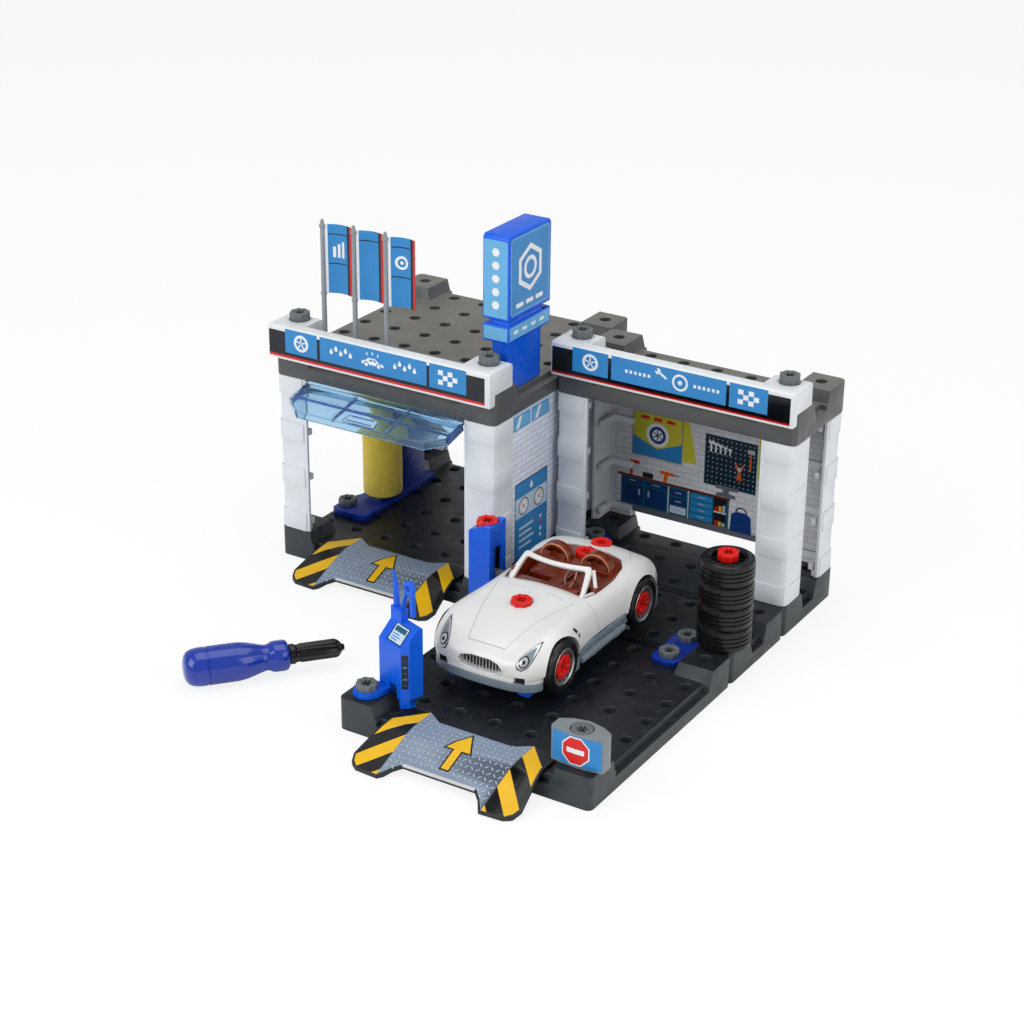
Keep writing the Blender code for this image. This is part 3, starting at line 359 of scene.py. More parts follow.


# Open foam: cells as a bump, and their pits darkened with painted shade.
def foamPaint(name, colour):
    recipe = Recipe(name)
    cells = recipe.put(recipe.add("ShaderNodeTexVoronoi"), {"Scale": 950.0, "Vector": recipe.place})
    # painted shade: the colour darkens where the cells dip into pits
    foamPitShade = recipe.spread(cells.outputs["Distance"], 0.1, 0.62, 0.84, 1.06)
    shade = recipe.shaded(colour, foamPitShade)
    cloud = recipe.spread(recipe.noise(70.0, 4.0), 0.3, 0.7, 0.0, 0.35)
    recipe.plug(recipe.mix(cloud, shade, tuple(c * 0.8 for c in colour[:3]) + (1.0,)),
                recipe.shader.inputs["Base Color"])
    recipe.put(recipe.shader, {"Roughness": 0.95, "Sheen Weight": 0.35})
    recipe.bump(cells.outputs["Distance"], 0.6, 0.0008)
    return recipe.paint


finishes = {
    # the top and side greys of plates and roofs differ as painted light and shade
    "plate": platePaint("plateGrey", tone(25, 28, 32), tone(52, 58, 61), 0.34),
    "roof": platePaint("roofGrey", tone(106, 105, 100), tone(78, 80, 81), 0.38),
    "white": plastic("pillarWhite", tone(214, 219, 224), 0.34, mottle=0.02, scuff=0.01),
    "sign": plastic("signWhite", tone(218, 222, 224), 0.3, mottle=0.02, scuff=0.01),
    "ink": inkPaint("stickerInk"),
    "brickBay": brickPaint("brickPrintBay", (math.radians(-90), 0, 0),
                           tone(214, 214, 218), tone(160, 162, 170)),
    "brickWash": brickPaint("brickPrintWash", (math.radians(-90), math.radians(-90), 0),
                            tone(232, 238, 250), tone(152, 160, 202)),
    "pale": plastic("stopPale", tone(120, 126, 130), 0.34, mottle=0.03),
    "clear": clearPaint("clearBlue", tone(168, 208, 238)),
    "clearRib": clearPaint("clearBlueRib", tone(40, 104, 206), 0.12),
    "blue": plastic("toolBlue", tone(3, 90, 218), 0.3, mottle=0.04, scuff=0.01),
    "navy": plastic("bracketBlue", tone(6, 48, 150), 0.3, mottle=0.04, scuff=0.01),
    "foam": foamPaint("brushFoam", tone(252, 224, 84)),
    "grey": plastic("screwGrey", tone(100, 106, 108), 0.36, mottle=0.07),
    "sill": plastic("sillGrey", tone(112, 124, 134), 0.32),
    "rampEdge": plastic("rampBlack", tone(30, 34, 36), 0.36),
    "lip": plastic("lipGrey", tone(190, 193, 194), 0.42),
    "red": plastic("screwRed", tone(214, 22, 14), 0.28, mottle=0.06, scuff=0.01),
    # red in painted shade, for the pits of red screws and the car wheels' dishes
    "redShade": plastic("socketRedShade", tone(96, 8, 8), 0.45),
    "tyre": plastic("tyreRubber", tone(15, 15, 16), 0.3, mottle=0.1, grain=0.06, scuff=0.02),
    "rim": plastic("rimSilver", tone(190, 193, 198), 0.28, Metallic=0.85),
    "chrome": plastic("grilleChrome", tone(205, 208, 212), 0.22, Metallic=0.85),
    # dark: black trim on the car, and painted shade in screw sockets, spare wheel dishes and the lift's slot
    "dark": plastic("darkTrimAndShade", tone(10, 10, 12), 0.5, scuff=0.0),
    "trim": plastic("seatBrown", tone(106, 34, 6), 0.22, mottle=0.16, scuff=0.01,
                    **{"Coat Weight": 0.5, "Coat Roughness": 0.12}),
    "cream": plastic("seatPiping", tone(214, 150, 104), 0.3),
    "pole": plastic("poleGrey", tone(138, 144, 150), 0.4),
    "handle": plastic("handleBlue", tone(10, 48, 152), 0.14, mottle=0.06, scuff=0.01,
                      **{"Coat Weight": 0.5, "Coat Roughness": 0.08}),
    "shaft": plastic("shaftBlack", tone(10, 10, 11), 0.22),
}
print("finishes mixed", len(finishes))


# Plates and roofs: one moulding with sloped corner blocks, side ledges and a grid of peg holes.
plateForm = {"slope": 2.6, "blockX": 26.0, "blockY": 28.0, "ledge": 10.0, "ledgeDeep": 5.4,
             "rim": 8.0, "corner": 4.5, "hole": 4.2, "countersink": 0.45, "edge": 0.7}


def holeAt(x0, y0, column, row):
    return (x0 + plan["edge"] + plan["pitch"] * column, y0 + plan["edge"] + plan["pitch"] * row)


def pegPlate(node, paintName, x0, y0, z0, depth):
    form = plateForm
    x1, y1 = x0 + plan["wide"], y0 + depth
    top, deck, shelf = z0 + plan["block"], z0 + plan["deck"], z0 + form["ledge"]
    slope, small = form["slope"], form["slope"] * 0.2
    bm = bmesh.new()
    slab(bm, roundedPlan(x0, x1, y0, y1, form["corner"]), z0, top)
    for axis, size, a0, a1, b0, b1 in (("y", form["blockX"], x0, x1, y0, y1),
                                       ("x", form["blockY"], y0, y1, x0, x1)):
        tools = bmesh.new()
        slab(tools, [(a0 + size - small, top + 2), (a1 - size + small, top + 2),
                     (a1 - size - slope, deck), (a0 + size + slope, deck)], b0 - 2, b1 + 2, axis)
        bm = carve(bm, tools)
    tools = bmesh.new()
    side = form["blockX"] + slope + 1.6
    back = form["blockY"] + slope + 1.2
    for a, b in ((y0 - 1, y0 + form["ledgeDeep"]), (y1 - form["ledgeDeep"], y1 + 1)):
        block(tools, x0 + side, x1 - side, a, b, shelf, deck + 1)
    for a, b in ((x0 - 1, x0 + form["ledgeDeep"]), (x1 - form["ledgeDeep"], x1 + 1)):
        block(tools, a, b, y0 + back, y1 - back, shelf, deck + 1)
    bm = carve(bm, tools)
    bmesh.ops.dissolve_limit(bm, angle_limit=math.radians(1), verts=bm.verts, edges=bm.edges)
    soften(bm, form["edge"], 3)
    tools = bmesh.new()
    block(tools, x0 + form["rim"], x1 - form["rim"], y0 + form["rim"], y1 - form["rim"], z0 - 1, z0 + 3.6)
    bm = carve(bm, tools)
    rows = int(round((depth - 2 * plan["edge"]) / plan["pitch"])) + 1
    drills = bmesh.new()
    r, c = form["hole"], form["countersink"]
    for column in range(plan["columns"]):
        for row in range(rows):
            hx, hy = holeAt(x0, y0, column, row)
            high = top if column in (0, plan["columns"] - 1) and row in (0, rows - 1) else deck
            stacked(drills, [(r, z0 + 4.6), (r, high - c), (r + 1.6 * c, high + 0.6 * c),
                             (r + 1.6 * c, high + 3)], (hx, hy, 0), "z", 28)
    bm = carve(bm, drills)
    return finish(node + "_moulding", bm, paintName, "station", node, 26.0, recalc=False)


for node, paintName, x0, y0, z0, depth in (
        ("plate_front", "plate", 0.0, 0.0, 0.0, plan["deep"]),
        ("plate_wash", "plate", plan["washX"], plan["midY"], 0.0, plan["deep"]),
        ("plate_middle", "plate", 0.0, plan["midY"], 0.0, plan["narrow"]),
        ("plate_bay", "plate", 0.0, plan["bayY"], 0.0, plan["narrow"]),
        ("roof_wash", "roof", plan["washX"], plan["midY"], plan["roof"], plan["deep"]),
        ("roof_bay", "roof", 0.0, plan["bayY"], plan["roof"], plan["narrow"])):
    pegPlate(node, paintName, x0, y0, z0, depth)
print("plates moulded")


# Screw heads: eight scallops round the rim and an eight-lobed socket, with painted shade on the pin in its
# pit.
screwForm = {"radius": 7.1, "scallop": 0.38, "socket": 3.75, "lobe": 0.95, "bevel": 0.55, "floor": 0.35,
             "shank": 3.6}


def screwHead(bm, x, y, low, high, radius=None, paint=0, socketShade=1):
    form = screwForm
    r = radius or form["radius"]
    k = r / form["radius"]
    s, q, d = form["scallop"] * k, form["socket"] * k, form["lobe"] * k
    b = form["bevel"]
    floor = low + (high - low) * form["floor"]
    stacked(bm, [(r - 0.2, low, s), (r, low + 0.4, s), (r, high - b, s), (r - b * 0.3, high - b * 0.3, s),
                 (r - b, high, s), (q + 1.35 * k, high, d * 0.6), (q + 1.0 * k, high - 0.45, d),
                 (q + 0.4 * k, high - 0.5, d), (q, high - 0.9, d), (q, floor, d)], (x, y, 0), "z", 96, paint)
    # the pin in the socket's pit takes its own darker paint: painted shade, not a colour of the screw
    stacked(bm, [(1.5 * k, floor - 0.2), (1.5 * k, high - 1.9), (1.1 * k, high - 1.4)],
            (x, y, 0), "z", 24, socketShade)


def shank(bm, x, y, low, high):
    r = screwForm["shank"]
    stacked(bm, [(r - 0.7, low, 0.0), (r - 0.25, low + 0.9, 0.25), (r - 0.25, high, 0.25)], (x, y, 0))


# the second paint of each screw is the painted shade deep in its socket
greyScrew, redScrew = ("grey", "dark"), ("red", "redShade")
fasciaScrews = {"fascia_wash": (plan["washX"], plan["midY"]), "fascia_bay": (0.0, plan["bayY"])}
for fascia, (x0, y0) in fasciaScrews.items():
    for side, column in (("a", 0), ("b", plan["columns"] - 1)):
        hx, hy = holeAt(x0, y0, column, 0)
        bm = bmesh.new()
        screwHead(bm, hx, hy, 187.3, 193.9)
        shank(bm, hx, hy, 159.0, 187.6)
        finish(fascia + "_screw_head_" + side, bm, greyScrew, "station", fascia + "_screw_" + side)

# Heads that sit on a host: (x, y, low, high).
lowDeck, lowRoof = plan["deck"] + 0.3, plan["roof"] + plan["deck"] + 0.3
tool = holeAt(0.0, 0.0, 0, 0)
stop = holeAt(0.0, 0.0, plan["columns"] - 1, 0)
brushLeft = holeAt(plan["washX"], plan["midY"], 0, 2)
backPair = ((-13.8, 313.8), (13.5, 313.8))


def joinerHeads(places, level):
    return [(x, y, level + 3.6, level + 8.0) for x, y in places]


hosts = {
    "joiner_floor": joinerHeads(((150.0, 177.3), (150.0, 204.6)), lowDeck),
    "joiner_base": joinerHeads(backPair, lowDeck),
    "joiner_roof": joinerHeads(backPair, lowRoof),
    "brush_bracket_left": [(brushLeft[0], brushLeft[1] - 1.0, lowDeck + 4.6, lowDeck + 9.4)],
    "brush_bracket_right": [(2 * (plan["washX"] + plan["wide"] / 2) - brushLeft[0], brushLeft[1] - 1.0,
                             lowDeck + 4.6, lowDeck + 9.4)],
    "tool_column": [(tool[0], tool[1], 27.7, 32.5)],
}
for host, heads in hosts.items():
    paintName = "navy" if host.startswith(("joiner", "brush")) else "blue"
    tools = bmesh.new()
    for x, y, low, high in heads:
        slab(tools, disc(x, y, 7.6, 40), low, high + 4)
    moulded(host, paintName, "station", 0.5, 2, tools)
    bm = bmesh.new()
    for x, y, low, high in heads:
        screwHead(bm, x, y, low - 0.4, high)
    finish(host + "_screws", bm, greyScrew, "station")
print("screws set")


# A round bar along a smooth line of points.
def tube(bm, points, radius, ring=12, smooth=6, closed=False):
    line = bpy.data.curves.new("line", "CURVE")
    line.dimensions = "3D"
    line.bevel_depth = radius
    line.bevel_resolution = ring // 4
    line.use_fill_caps = True
    spline = line.splines.new("BEZIER")
    spline.bezier_points.add(len(points) - 1)
    for knot, point in zip(spline.bezier_points, points):
        knot.co = point
        knot.handle_left_type = knot.handle_right_type = "AUTO"
    spline.resolution_u = smooth
    spline.use_cyclic_u = closed
    item = linked("line", line)
    mesh = bpy.data.meshes.new_from_object(item.evaluated_get(bpy.context.evaluated_depsgraph_get()))
    bm.from_mesh(mesh)
    bpy.data.objects.remove(item)
    bpy.data.curves.remove(line)
    bpy.data.meshes.remove(mesh)


def bar(bm, start, end, wide, thick, paint=0):
    start, end = Vector(start), Vector(end)
    made = bmesh.ops.create_cube(bm, size=1.0)["verts"]
    way = end - start
    turn = way.to_track_quat("Z", "Y").to_matrix().to_4x4()
    bmesh.ops.transform(bm, verts=made, matrix=Matrix.Translation((start + end) / 2) @ turn
                        @ Matrix.Diagonal((wide, thick, way.length, 1.0)))
    for face in {f for v in made for f in v.link_faces}:
        face.material_index = paint
    return made


# Evenly spaced points on a closed line.
def resample(points, count):
    closed = points + [points[0]]
    steps = [math.dist(a, b) for a, b in zip(closed, closed[1:])]
    total = sum(steps)
    line = []
    for k in range(count):
        goal = total * k / count
        i = 0
        while goal > steps[i]:
            goal -= steps[i]
            i += 1
        t = goal / steps[i]
        (ax, ay), (bx, by) = closed[i], closed[i + 1]
        line.append((ax * (1 - t) + bx * t, ay * (1 - t) + by * t))
    return line


# Car: middle, axles, wheels and half the width over them, as it stands on the deck.
carForm = {"middle": 66.5, "frontAxle": 100.4, "rearAxle": 208.2, "axleHigh": 33.2,
           "tyre": 18.6, "tyreWide": 14.2, "half": 46.0}
# Stations from nose to tail: y, half width, lower edge, shoulder, wing crest, centre height.
carStations = (
    (67.8, 23.0, 33.0, 37.6, 39.6, 40.2), (69.4, 31.5, 30.6, 39.5, 42.8, 43.4),
    (74.0, 38.8, 30.2, 42.4, 46.4, 46.8), (82.0, 43.6, 30.2, 46.4, 51.2, 50.6),
    (92.0, 45.0, 30.2, 50.6, 56.0, 54.4), (104.0, 45.6, 30.2, 52.8, 58.8, 57.4),
    (120.0, 44.4, 30.2, 53.2, 59.2, 60.0), (134.0, 43.0, 30.2, 53.2, 59.2, 61.4),
    (150.0, 42.6, 30.2, 53.2, 59.2, 61.8), (170.0, 42.6, 30.2, 53.2, 59.0, 61.0),
    (186.0, 43.6, 30.2, 53.6, 59.8, 61.2), (204.0, 45.6, 30.2, 54.0, 61.0, 62.0),
    (220.0, 45.0, 30.2, 53.0, 60.0, 61.6), (232.0, 42.6, 30.2, 50.4, 57.0, 59.0),
    (240.0, 38.6, 30.2, 47.0, 51.6, 53.6), (243.4, 33.0, 31.0, 43.6, 46.4, 47.4),
    (244.2, 24.0, 33.4, 39.4, 41.0, 41.6),
)


def carSection(y, half, sill, shoulder, crest, top):
    middle = carForm["middle"]
    side = [(half * 0.55, sill), (half * 0.97, sill), (half, sill + (shoulder - sill) * 0.22),
            (half + 0.2, sill + (shoulder - sill) * 0.6), (half - 1.6, shoulder - 0.5),
            (half - 5.4, (shoulder + crest) / 2 + 1.2), (half - 11.0, crest),
            (half * 0.52, crest * 0.45 + top * 0.55 - 0.5), (half * 0.28, top - 0.1)]
    right = [(middle + a, y, b) for a, b in side]
    return right + [(middle, y, top)] + [(middle - a, y, b) for a, b in side[::-1]]


def loft(bm, sections):
    loops = []
    for section in sections:
        ring = [bm.verts.new(point) for point in section]
        loops.append([bm.edges.new((a, b)) for a, b in zip(ring, ring[1:] + ring[:1])])
    for one, two in zip(loops, loops[1:]):
        bmesh.ops.bridge_loops(bm, edges=one + two)
    for loop in (loops[0], loops[-1]):
        bmesh.ops.edgeloop_fill(bm, edges=loop)
    bmesh.ops.recalc_face_normals(bm, faces=bm.faces)
    return bm


def moved(bm):
    bmesh.ops.translate(bm, verts=bm.verts, vec=carShift)
    return bm


# A closed outline from its right half, which is mirrored for the left.
def mirrored(half):
    return [(-half[0][0], half[0][1])] + half + [(-a, b) for a, b in half[:0:-1]]


# The same block on both sides of the car, from near to far out of its middle.
def bothSides(bm, near, far, *ends):
    for sign in (-1, 1):
        low, high = sorted((carForm["middle"] + sign * near, carForm["middle"] + sign * far))
        block(bm, low, high, *ends)


grilleLine = [(-17.6, 37.4), (-14.6, 33.6), (-7.0, 32.2), (0.0, 31.9), (7.0, 32.2), (14.6, 33.6),
              (17.6, 37.4), (14.0, 40.6), (7.0, 42.0), (-7.0, 42.0), (-14.0, 40.6)]


def buildCarBody():
    form = carForm
    cx = form["middle"]
    bm = smoothed(loft(bmesh.new(), [carSection(*station) for station in carStations]), 3)
    for vert in bm.verts:
        for y in (form["frontAxle"], form["rearAxle"]):
            away = math.hypot(vert.co.y - y, vert.co.z - form["axleHigh"])
            if away < 27.0 and abs(vert.co.x - cx) > 36 and vert.co.z > 34:
                lip = max(0.0, 1.0 - max(0.0, away - 20.5) / 5.0)
                vert.co.x += math.copysign(1.0 * lip * lip, vert.co.x - cx)
    tools = bmesh.new()
    for y in (form["frontAxle"], form["rearAxle"]):
        for sign in (-1, 1):
            ends = sorted((cx + sign * 30.4, cx + sign * 62))
            stacked(tools, [(20.5, ends[0]), (20.5, ends[1])], (0, y, form["axleHigh"]), "x", 64)
    bm = carve(bm, tools)
    tools = bmesh.new()
    opening = mirrored([(31.0, 144.5), (34.2, 158.0), (34.6, 184.0), (32.0, 200.0), (25.0, 210.5),
                        (14.0, 214.5)])
    slab(tools, [(cx + a, b) for a, b in opening], 40.0, 72.0)
    bm = carve(bm, tools)
    tools = bmesh.new()
    for y, low in ((120.0, 58.9), (227.0, 58.2)):
        slab(tools, disc(cx, y, 7.9, 40), low, 70.0)
    slab(tools, [(cx + a, b) for a, b in grilleLine], 60.0, 75.5, "y")
    bm = carve(bm, tools)
    tools = bmesh.new()
    slab(tools, [(cx + a, b) for a, b in mirrored([(30.6, 28.0), (30.6, 44.0)])], 84.0, 230.0, "y")
    bothSides(tools, 26.0, 33.0, 60.0, 75.0, 27.0, 34.4)
    bm = carve(bm, tools)
    soften(bm, 0.35, 1, 50)
    finish("car_body_shell", moved(bm), "pearl", "car", "car_body", 34)


# Pearl shell: its panel seams are thin dark grooves, placed in metres on the car as it stands
# on the deck.
def pearlPaint():
    recipe = Recipe("carPearl")
    x, y, z = recipe.axes()
    middle = (carForm["middle"] + carShift[0] - planCentre[0]) / 1000
    across = recipe.sums("ABSOLUTE", recipe.sums("SUBTRACT", x, middle))
    along = recipe.sums("SUBTRACT", y, (carShift[1] - planCentre[1]) / 1000)
    high = recipe.sums("SUBTRACT", z, carShift[2] / 1000)
    upper = recipe.sums("GREATER_THAN", high, 0.044)

    def line(value, goal, wide=0.00022):
        return recipe.sums("COMPARE", value, goal, wide)

    def times(a, b):
        return recipe.sums("MULTIPLY", a, b)

    # bonnet panel: a straight seam from the grille out to the windscreen, closed across the nose
    seam = line(recipe.sums("SUBTRACT", across, times(along, 0.262)), -0.0059)
    seam = times(seam, recipe.within(along, 0.0768, 0.1375))
    nose = times(line(along, 0.0768, 0.0003), recipe.sums("LESS_THAN", across, 0.0143))
    bonnet = times(recipe.sums("MAXIMUM", seam, nose), upper)
    # door: from the windscreen foot down to the sill
    door = line(recipe.sums("ADD", along, times(high, 0.25)), 0.1598)
    door = times(door, recipe.sums("GREATER_THAN", across, 0.036))
    # boot lid
    lid = line(recipe.sums("ADD", across, times(along, 0.55)), 0.1482)
    lid = times(times(lid, upper), recipe.within(along, 0.2145, 0.2400))
    seams = recipe.sums("MAXIMUM", recipe.sums("MAXIMUM", bonnet, door), lid)
    flake = recipe.spread(recipe.noise(5200.0, 1.0), 0.55, 0.75, 0.0, 0.10)
    base = recipe.mix(flake, tone(216, 216, 214), tone(240, 240, 238))
    base = recipe.mix(times(seams, 0.6), base, tone(96, 94, 90))
    recipe.put(recipe.shader, {"Coat Weight": 0.5, "Coat Roughness": 0.12})
    paint = dress(recipe, base, 0.34, 0.02, 0.02, 0.01, 0.05)
    relief = recipe.sums("SUBTRACT", times(recipe.noise(1800.0), 0.02), seams)
    recipe.bump(relief, 0.5, 0.0003)
    return paint


finishes["pearl"] = pearlPaint()
buildCarBody()


def buildWindscreen():
    cx = carForm["middle"]
    base, lean = Vector((cx, 150.5, 53.7)), Vector((0.0, 0.762, 0.648)).normalized()
    out = Vector((0.0, -lean.z, lean.y))
    tall = 26.0
    outer = resample(mirrored([(29.6, 0.0), (28.2, 13.0), (26.8, 22.4), (25.0, 26.0)]), 72)
    inner = resample(mirrored([(26.4, 3.0), (25.0, 13.0), (23.6, 20.9), (22.2, 22.3)]), 72)
    bm = bmesh.new()
    loops = []
    for line in (outer, inner):
        ring = [bm.verts.new((u, v, 0.0)) for u, v in line]
        loops.append([bm.edges.new((a, b)) for a, b in zip(ring, ring[1:] + ring[:1])])
    faces = bmesh.ops.bridge_loops(bm, edges=loops[0] + loops[1])["faces"]
    grown = bmesh.ops.extrude_face_region(bm, geom=faces)["geom"]
    bmesh.ops.translate(bm, verts=[v for v in grown if isinstance(v, bmesh.types.BMVert)], vec=(0, 0, 3.1))
    bmesh.ops.recalc_face_normals(bm, faces=bm.faces)
    soften(bm, 0.6, 3, 40)
    # both rails bow forward in the middle, and the foot rises over the crown of the bonnet
    for vert in bm.verts:
        u, v, w = vert.co
        middle = max(0.0, 1 - (u / 26.0) ** 2)
        vert.co = base + Vector((u, 0, 0)) + lean * v + out * w
        vert.co += Vector((0, -6.0 * middle, (4.0 * (1 - v / tall) + 0.3) * middle))
    for sign in (-1, 1):
        bar(bm, (cx + sign * 26.2, 169.6, 69.6), (cx + sign * 32.6, 162.6, 57.0), 2.4, 2.2)
        bar(bm, (cx + sign * 29.0, 152.4, 57.2), (cx + sign * 33.0, 163.4, 57.6), 2.2, 2.0)
    finish("windscreen_frame", moved(bm), "pearl", "car", "car_windscreen", 40)


buildWindscreen()


# Part of an ellipse over a middle, at the angles given in degrees.
def bowed(middle, wide, tall, foot, angles):
    return [(middle + wide * math.cos(math.radians(a)), foot + tall * math.sin(math.radians(a)))
            for a in angles]


def buildInterior():
    cx = carForm["middle"]
    bm = bmesh.new()
    tub = mirrored([(30.5, 145.0), (33.8, 158.0), (34.2, 184.0), (31.6, 199.8), (24.8, 210.2), (13.8, 214.1)])
    slab(bm, [(cx + a, b) for a, b in tub], 45.0, 60.6)
    tools = bmesh.new()
    slab(tools, [(cx + a, b) for a, b in mirrored([(29.5, 159.0), (30.8, 186.0)])], 49.5, 66.0)
    bm = carve(bm, tools)
    tools = bmesh.new()
    bothSides(tools, 30.9, 40.0, 186.5, 216.0, 40.0, 54.5)
    block(tools, cx - 40.0, cx + 40.0, 140.0, 160.5, 56.2, 70.0)
    bm = carve(bm, tools)
    soften(bm, 1.2, 3, 40)
    finish("cabin_tub", moved(bm), "trim", "car", "car_interior", 35)
    # seats: back with a hoop, cushion and piping
    for sign, name in ((-1, "left"), (1, "right")):
        mid = cx + sign * 16.2
        seat = bmesh.new()
        hoop = bowed(mid, 12.2, 11.4, 59.6, range(180, -1, -15))
        slab(seat, [(mid - 12.2, 55.0)] + hoop + [(mid + 12.2, 55.0)], 189.6, 196.8, "y")
        tools = bmesh.new()
        hole = bowed(mid, 7.6, 6.4, 60.9, range(170, 9, -20))
        slab(tools, [(mid - 7.6, 61.2)] + hole + [(mid + 7.6, 61.2)], 185.0, 193.6, "y")
        seat = carve(seat, tools)
        soften(seat, 1.0, 3, 40)
        slab(seat, roundedPlan(mid - 11.0, mid + 11.0, 171.5, 189.8, 4.0), 49.0, 55.2)
        soften(seat, 0.9, 2, 60, lambda e: all(abs(v.co.z - 55.2) < 0.01 for v in e.verts))
        bar(seat, (mid, 188.4, 55.0), (mid, 191.0, 64.0), 19.0, 4.5)
        stacked(seat, [(2.6, 188.0), (2.6, 190.6), (1.6, 191.4)], (mid, 0, 63.0), "y", 20)
        finish("seat_" + name, moved(seat), "trim", "car", sharp=35)
        piping = bmesh.new()
        tube(piping, [(a, 190.2, b) for a, b in bowed(mid, 11.0, 10.2, 59.8, range(178, 0, -16))], 0.75)
        finish("seat_piping_" + name, moved(piping), "cream", "car")
    # dashboard with its dial cowl, console and steering wheel
    hub = cx + 15.5

    def rimPoint(a, across, back, up):
        c, s = math.cos(math.radians(a)), math.sin(math.radians(a))
        return (hub + across * c, 163.6 + back * s, 62.2 + up * s)

    dash = bmesh.new()
    slab(dash, roundedPlan(cx - 29.0, cx + 29.0, 151.6, 161.4, 3.0), 52.0, 57.2)
    slab(dash, disc(hub, 159.6, 8.6, 28), 52.0, 58.8)
    soften(dash, 1.1, 3, 50)
    block(dash, cx - 4.5, cx + 4.5, 156.0, 196.0, 49.0, 56.5)
    tube(dash, [rimPoint(a, 7.4, 3.6, 6.2) for a in range(0, 360, 30)], 0.95, closed=True)
    for a in (90, 210, 330):
        bar(dash, (hub, 163.2, 61.8), rimPoint(a, 7.0, 3.4, 5.9), 1.4, 0.9)
    bar(dash, (hub, 157.0, 58.0), (hub, 163.4, 61.8), 2.6, 2.6)
    finish("dashboard", moved(dash), "trim", "car", sharp=35)


buildInterior()

for node, y, low, high in (("car_hood_bolt", 120.0, 58.9, 62.5), ("car_trunk_bolt", 227.0, 58.3, 61.9),
                           ("car_seat_bolt", 205.0, 60.7, 63.9)):
    bm = bmesh.new()
    screwHead(bm, carForm["middle"], y, low, high)
    shank(bm, carForm["middle"], y, 51.0, low + 0.3)
    finish(node + "_head", moved(bm), redScrew, "car", node)


# Wheels: grooved tyre, silver rim with thin spokes over a dish painted dark as the shade behind them, red
# bolt hub.
def tyreAndRim(bm, radius, wide, spokes=16, grooves=()):
    k = radius / 18.6
    shape = [(12.7 * k, 0.6), (17.0 * k, 0.15), (18.2 * k, 1.0), (radius, 2.6)]
    for g in grooves:
        shape += [(radius, g - 0.55), (radius - 0.9, g - 0.3), (radius - 0.9, g + 0.3), (radius, g + 0.55)]
    shape += [(radius, wide - 3.0), (18.1 * k, wide - 1.1), (17.0 * k, wide - 0.35), (16.6 * k, wide - 0.75),
              (16.2 * k, wide - 0.25), (13.6 * k, wide), (12.9 * k, wide - 0.7), (12.7 * k, wide - 2.0)]
    stacked(bm, shape, count=72, closed=True)
    stacked(bm, [(12.8 * k, 1.0), (12.8 * k, wide - 0.9), (12.3 * k, wide - 0.35), (11.6 * k, wide - 0.8),
                 (11.3 * k, wide - 2.6), (11.3 * k, 1.0)], count=72, paint=1, closed=True)
    # the dish behind the spokes is painted shade: red in shade on the car, near black on the spares
    stacked(bm, [(11.6 * k, 1.2), (11.6 * k, wide - 4.2), (9.0 * k, wide - 4.6), (3.0, wide - 4.6)], paint=3)
    for i in range(spokes):
        made = bar(bm, (0, 0, 0), (0, 0, 1), 0.9, 5.6 * k, 1)
        bmesh.ops.transform(bm, verts=made, matrix=Matrix.Rotation(2 * math.pi * i / spokes, 4, "Z")
                            @ Matrix.Translation((0, 9.2 * k, wide - 3.6)))


for label, axle, sign in (("front_left", "frontAxle", -1), ("front_right", "frontAxle", 1),
                          ("rear_left", "rearAxle", -1), ("rear_right", "rearAxle", 1)):
    form, wide = carForm, carForm["tyreWide"]
    bm = bmesh.new()
    tyreAndRim(bm, form["tyre"], wide)
    screwHead(bm, 0, 0, wide - 4.4, wide - 0.9, 8.3, 2, 3)
    stacked(bm, [(5.4, wide - 4.0), (5.4, wide - 2.5)], count=32, paint=2)
    stacked(bm, [(2.8, -9.8), (2.8, 6.0)], count=24, paint=2)
    turn = Matrix.Rotation(math.radians(90 * sign), 3, "Y")
    bmesh.ops.rotate(bm, verts=bm.verts, cent=(0, 0, 0), matrix=turn)
    hub = (form["middle"] + sign * (form["half"] - wide), form[axle], form["axleHigh"])
    bmesh.ops.translate(bm, verts=bm.verts, vec=hub)
    finish("wheel_" + label + "_set", moved(bm), ("tyre", "rim", "red", "redShade"),
           "wheel_" + label, "car_wheel_" + label)

spare = holeAt(0.0, plan["midY"], plan["columns"] - 1, 0)
spareForm = {"low": 23.9, "step": 16.4, "tyre": 19.0, "wide": 16.1, "spokes": 12, "grooves": (5.0, 8.1, 11.2)}
for k in range(4):
    form = spareForm
    bm = bmesh.new()
    tyreAndRim(bm, form["tyre"], form["wide"], form["spokes"], form["grooves"])
    bmesh.ops.translate(bm, verts=bm.verts, vec=(spare[0], spare[1], form["low"] + form["step"] * k))
    finish("spare_tyre_%d" % (k + 1), bm, ("tyre", "tyre", "red", "dark"), "station",
           "spare_wheel_%d" % (k + 1))
bm = bmesh.new()
spareTop = spareForm["low"] + 49.2 + spareForm["wide"] * 0.84 + 0.3
screwHead(bm, spare[0], spare[1], spareTop, spareTop + 6.0)
shank(bm, spare[0], spare[1], 14.0, spareTop + 0.4)
finish("spare_bolt_head", bm, redScrew, "station", "spare_bolt")
print("car built")


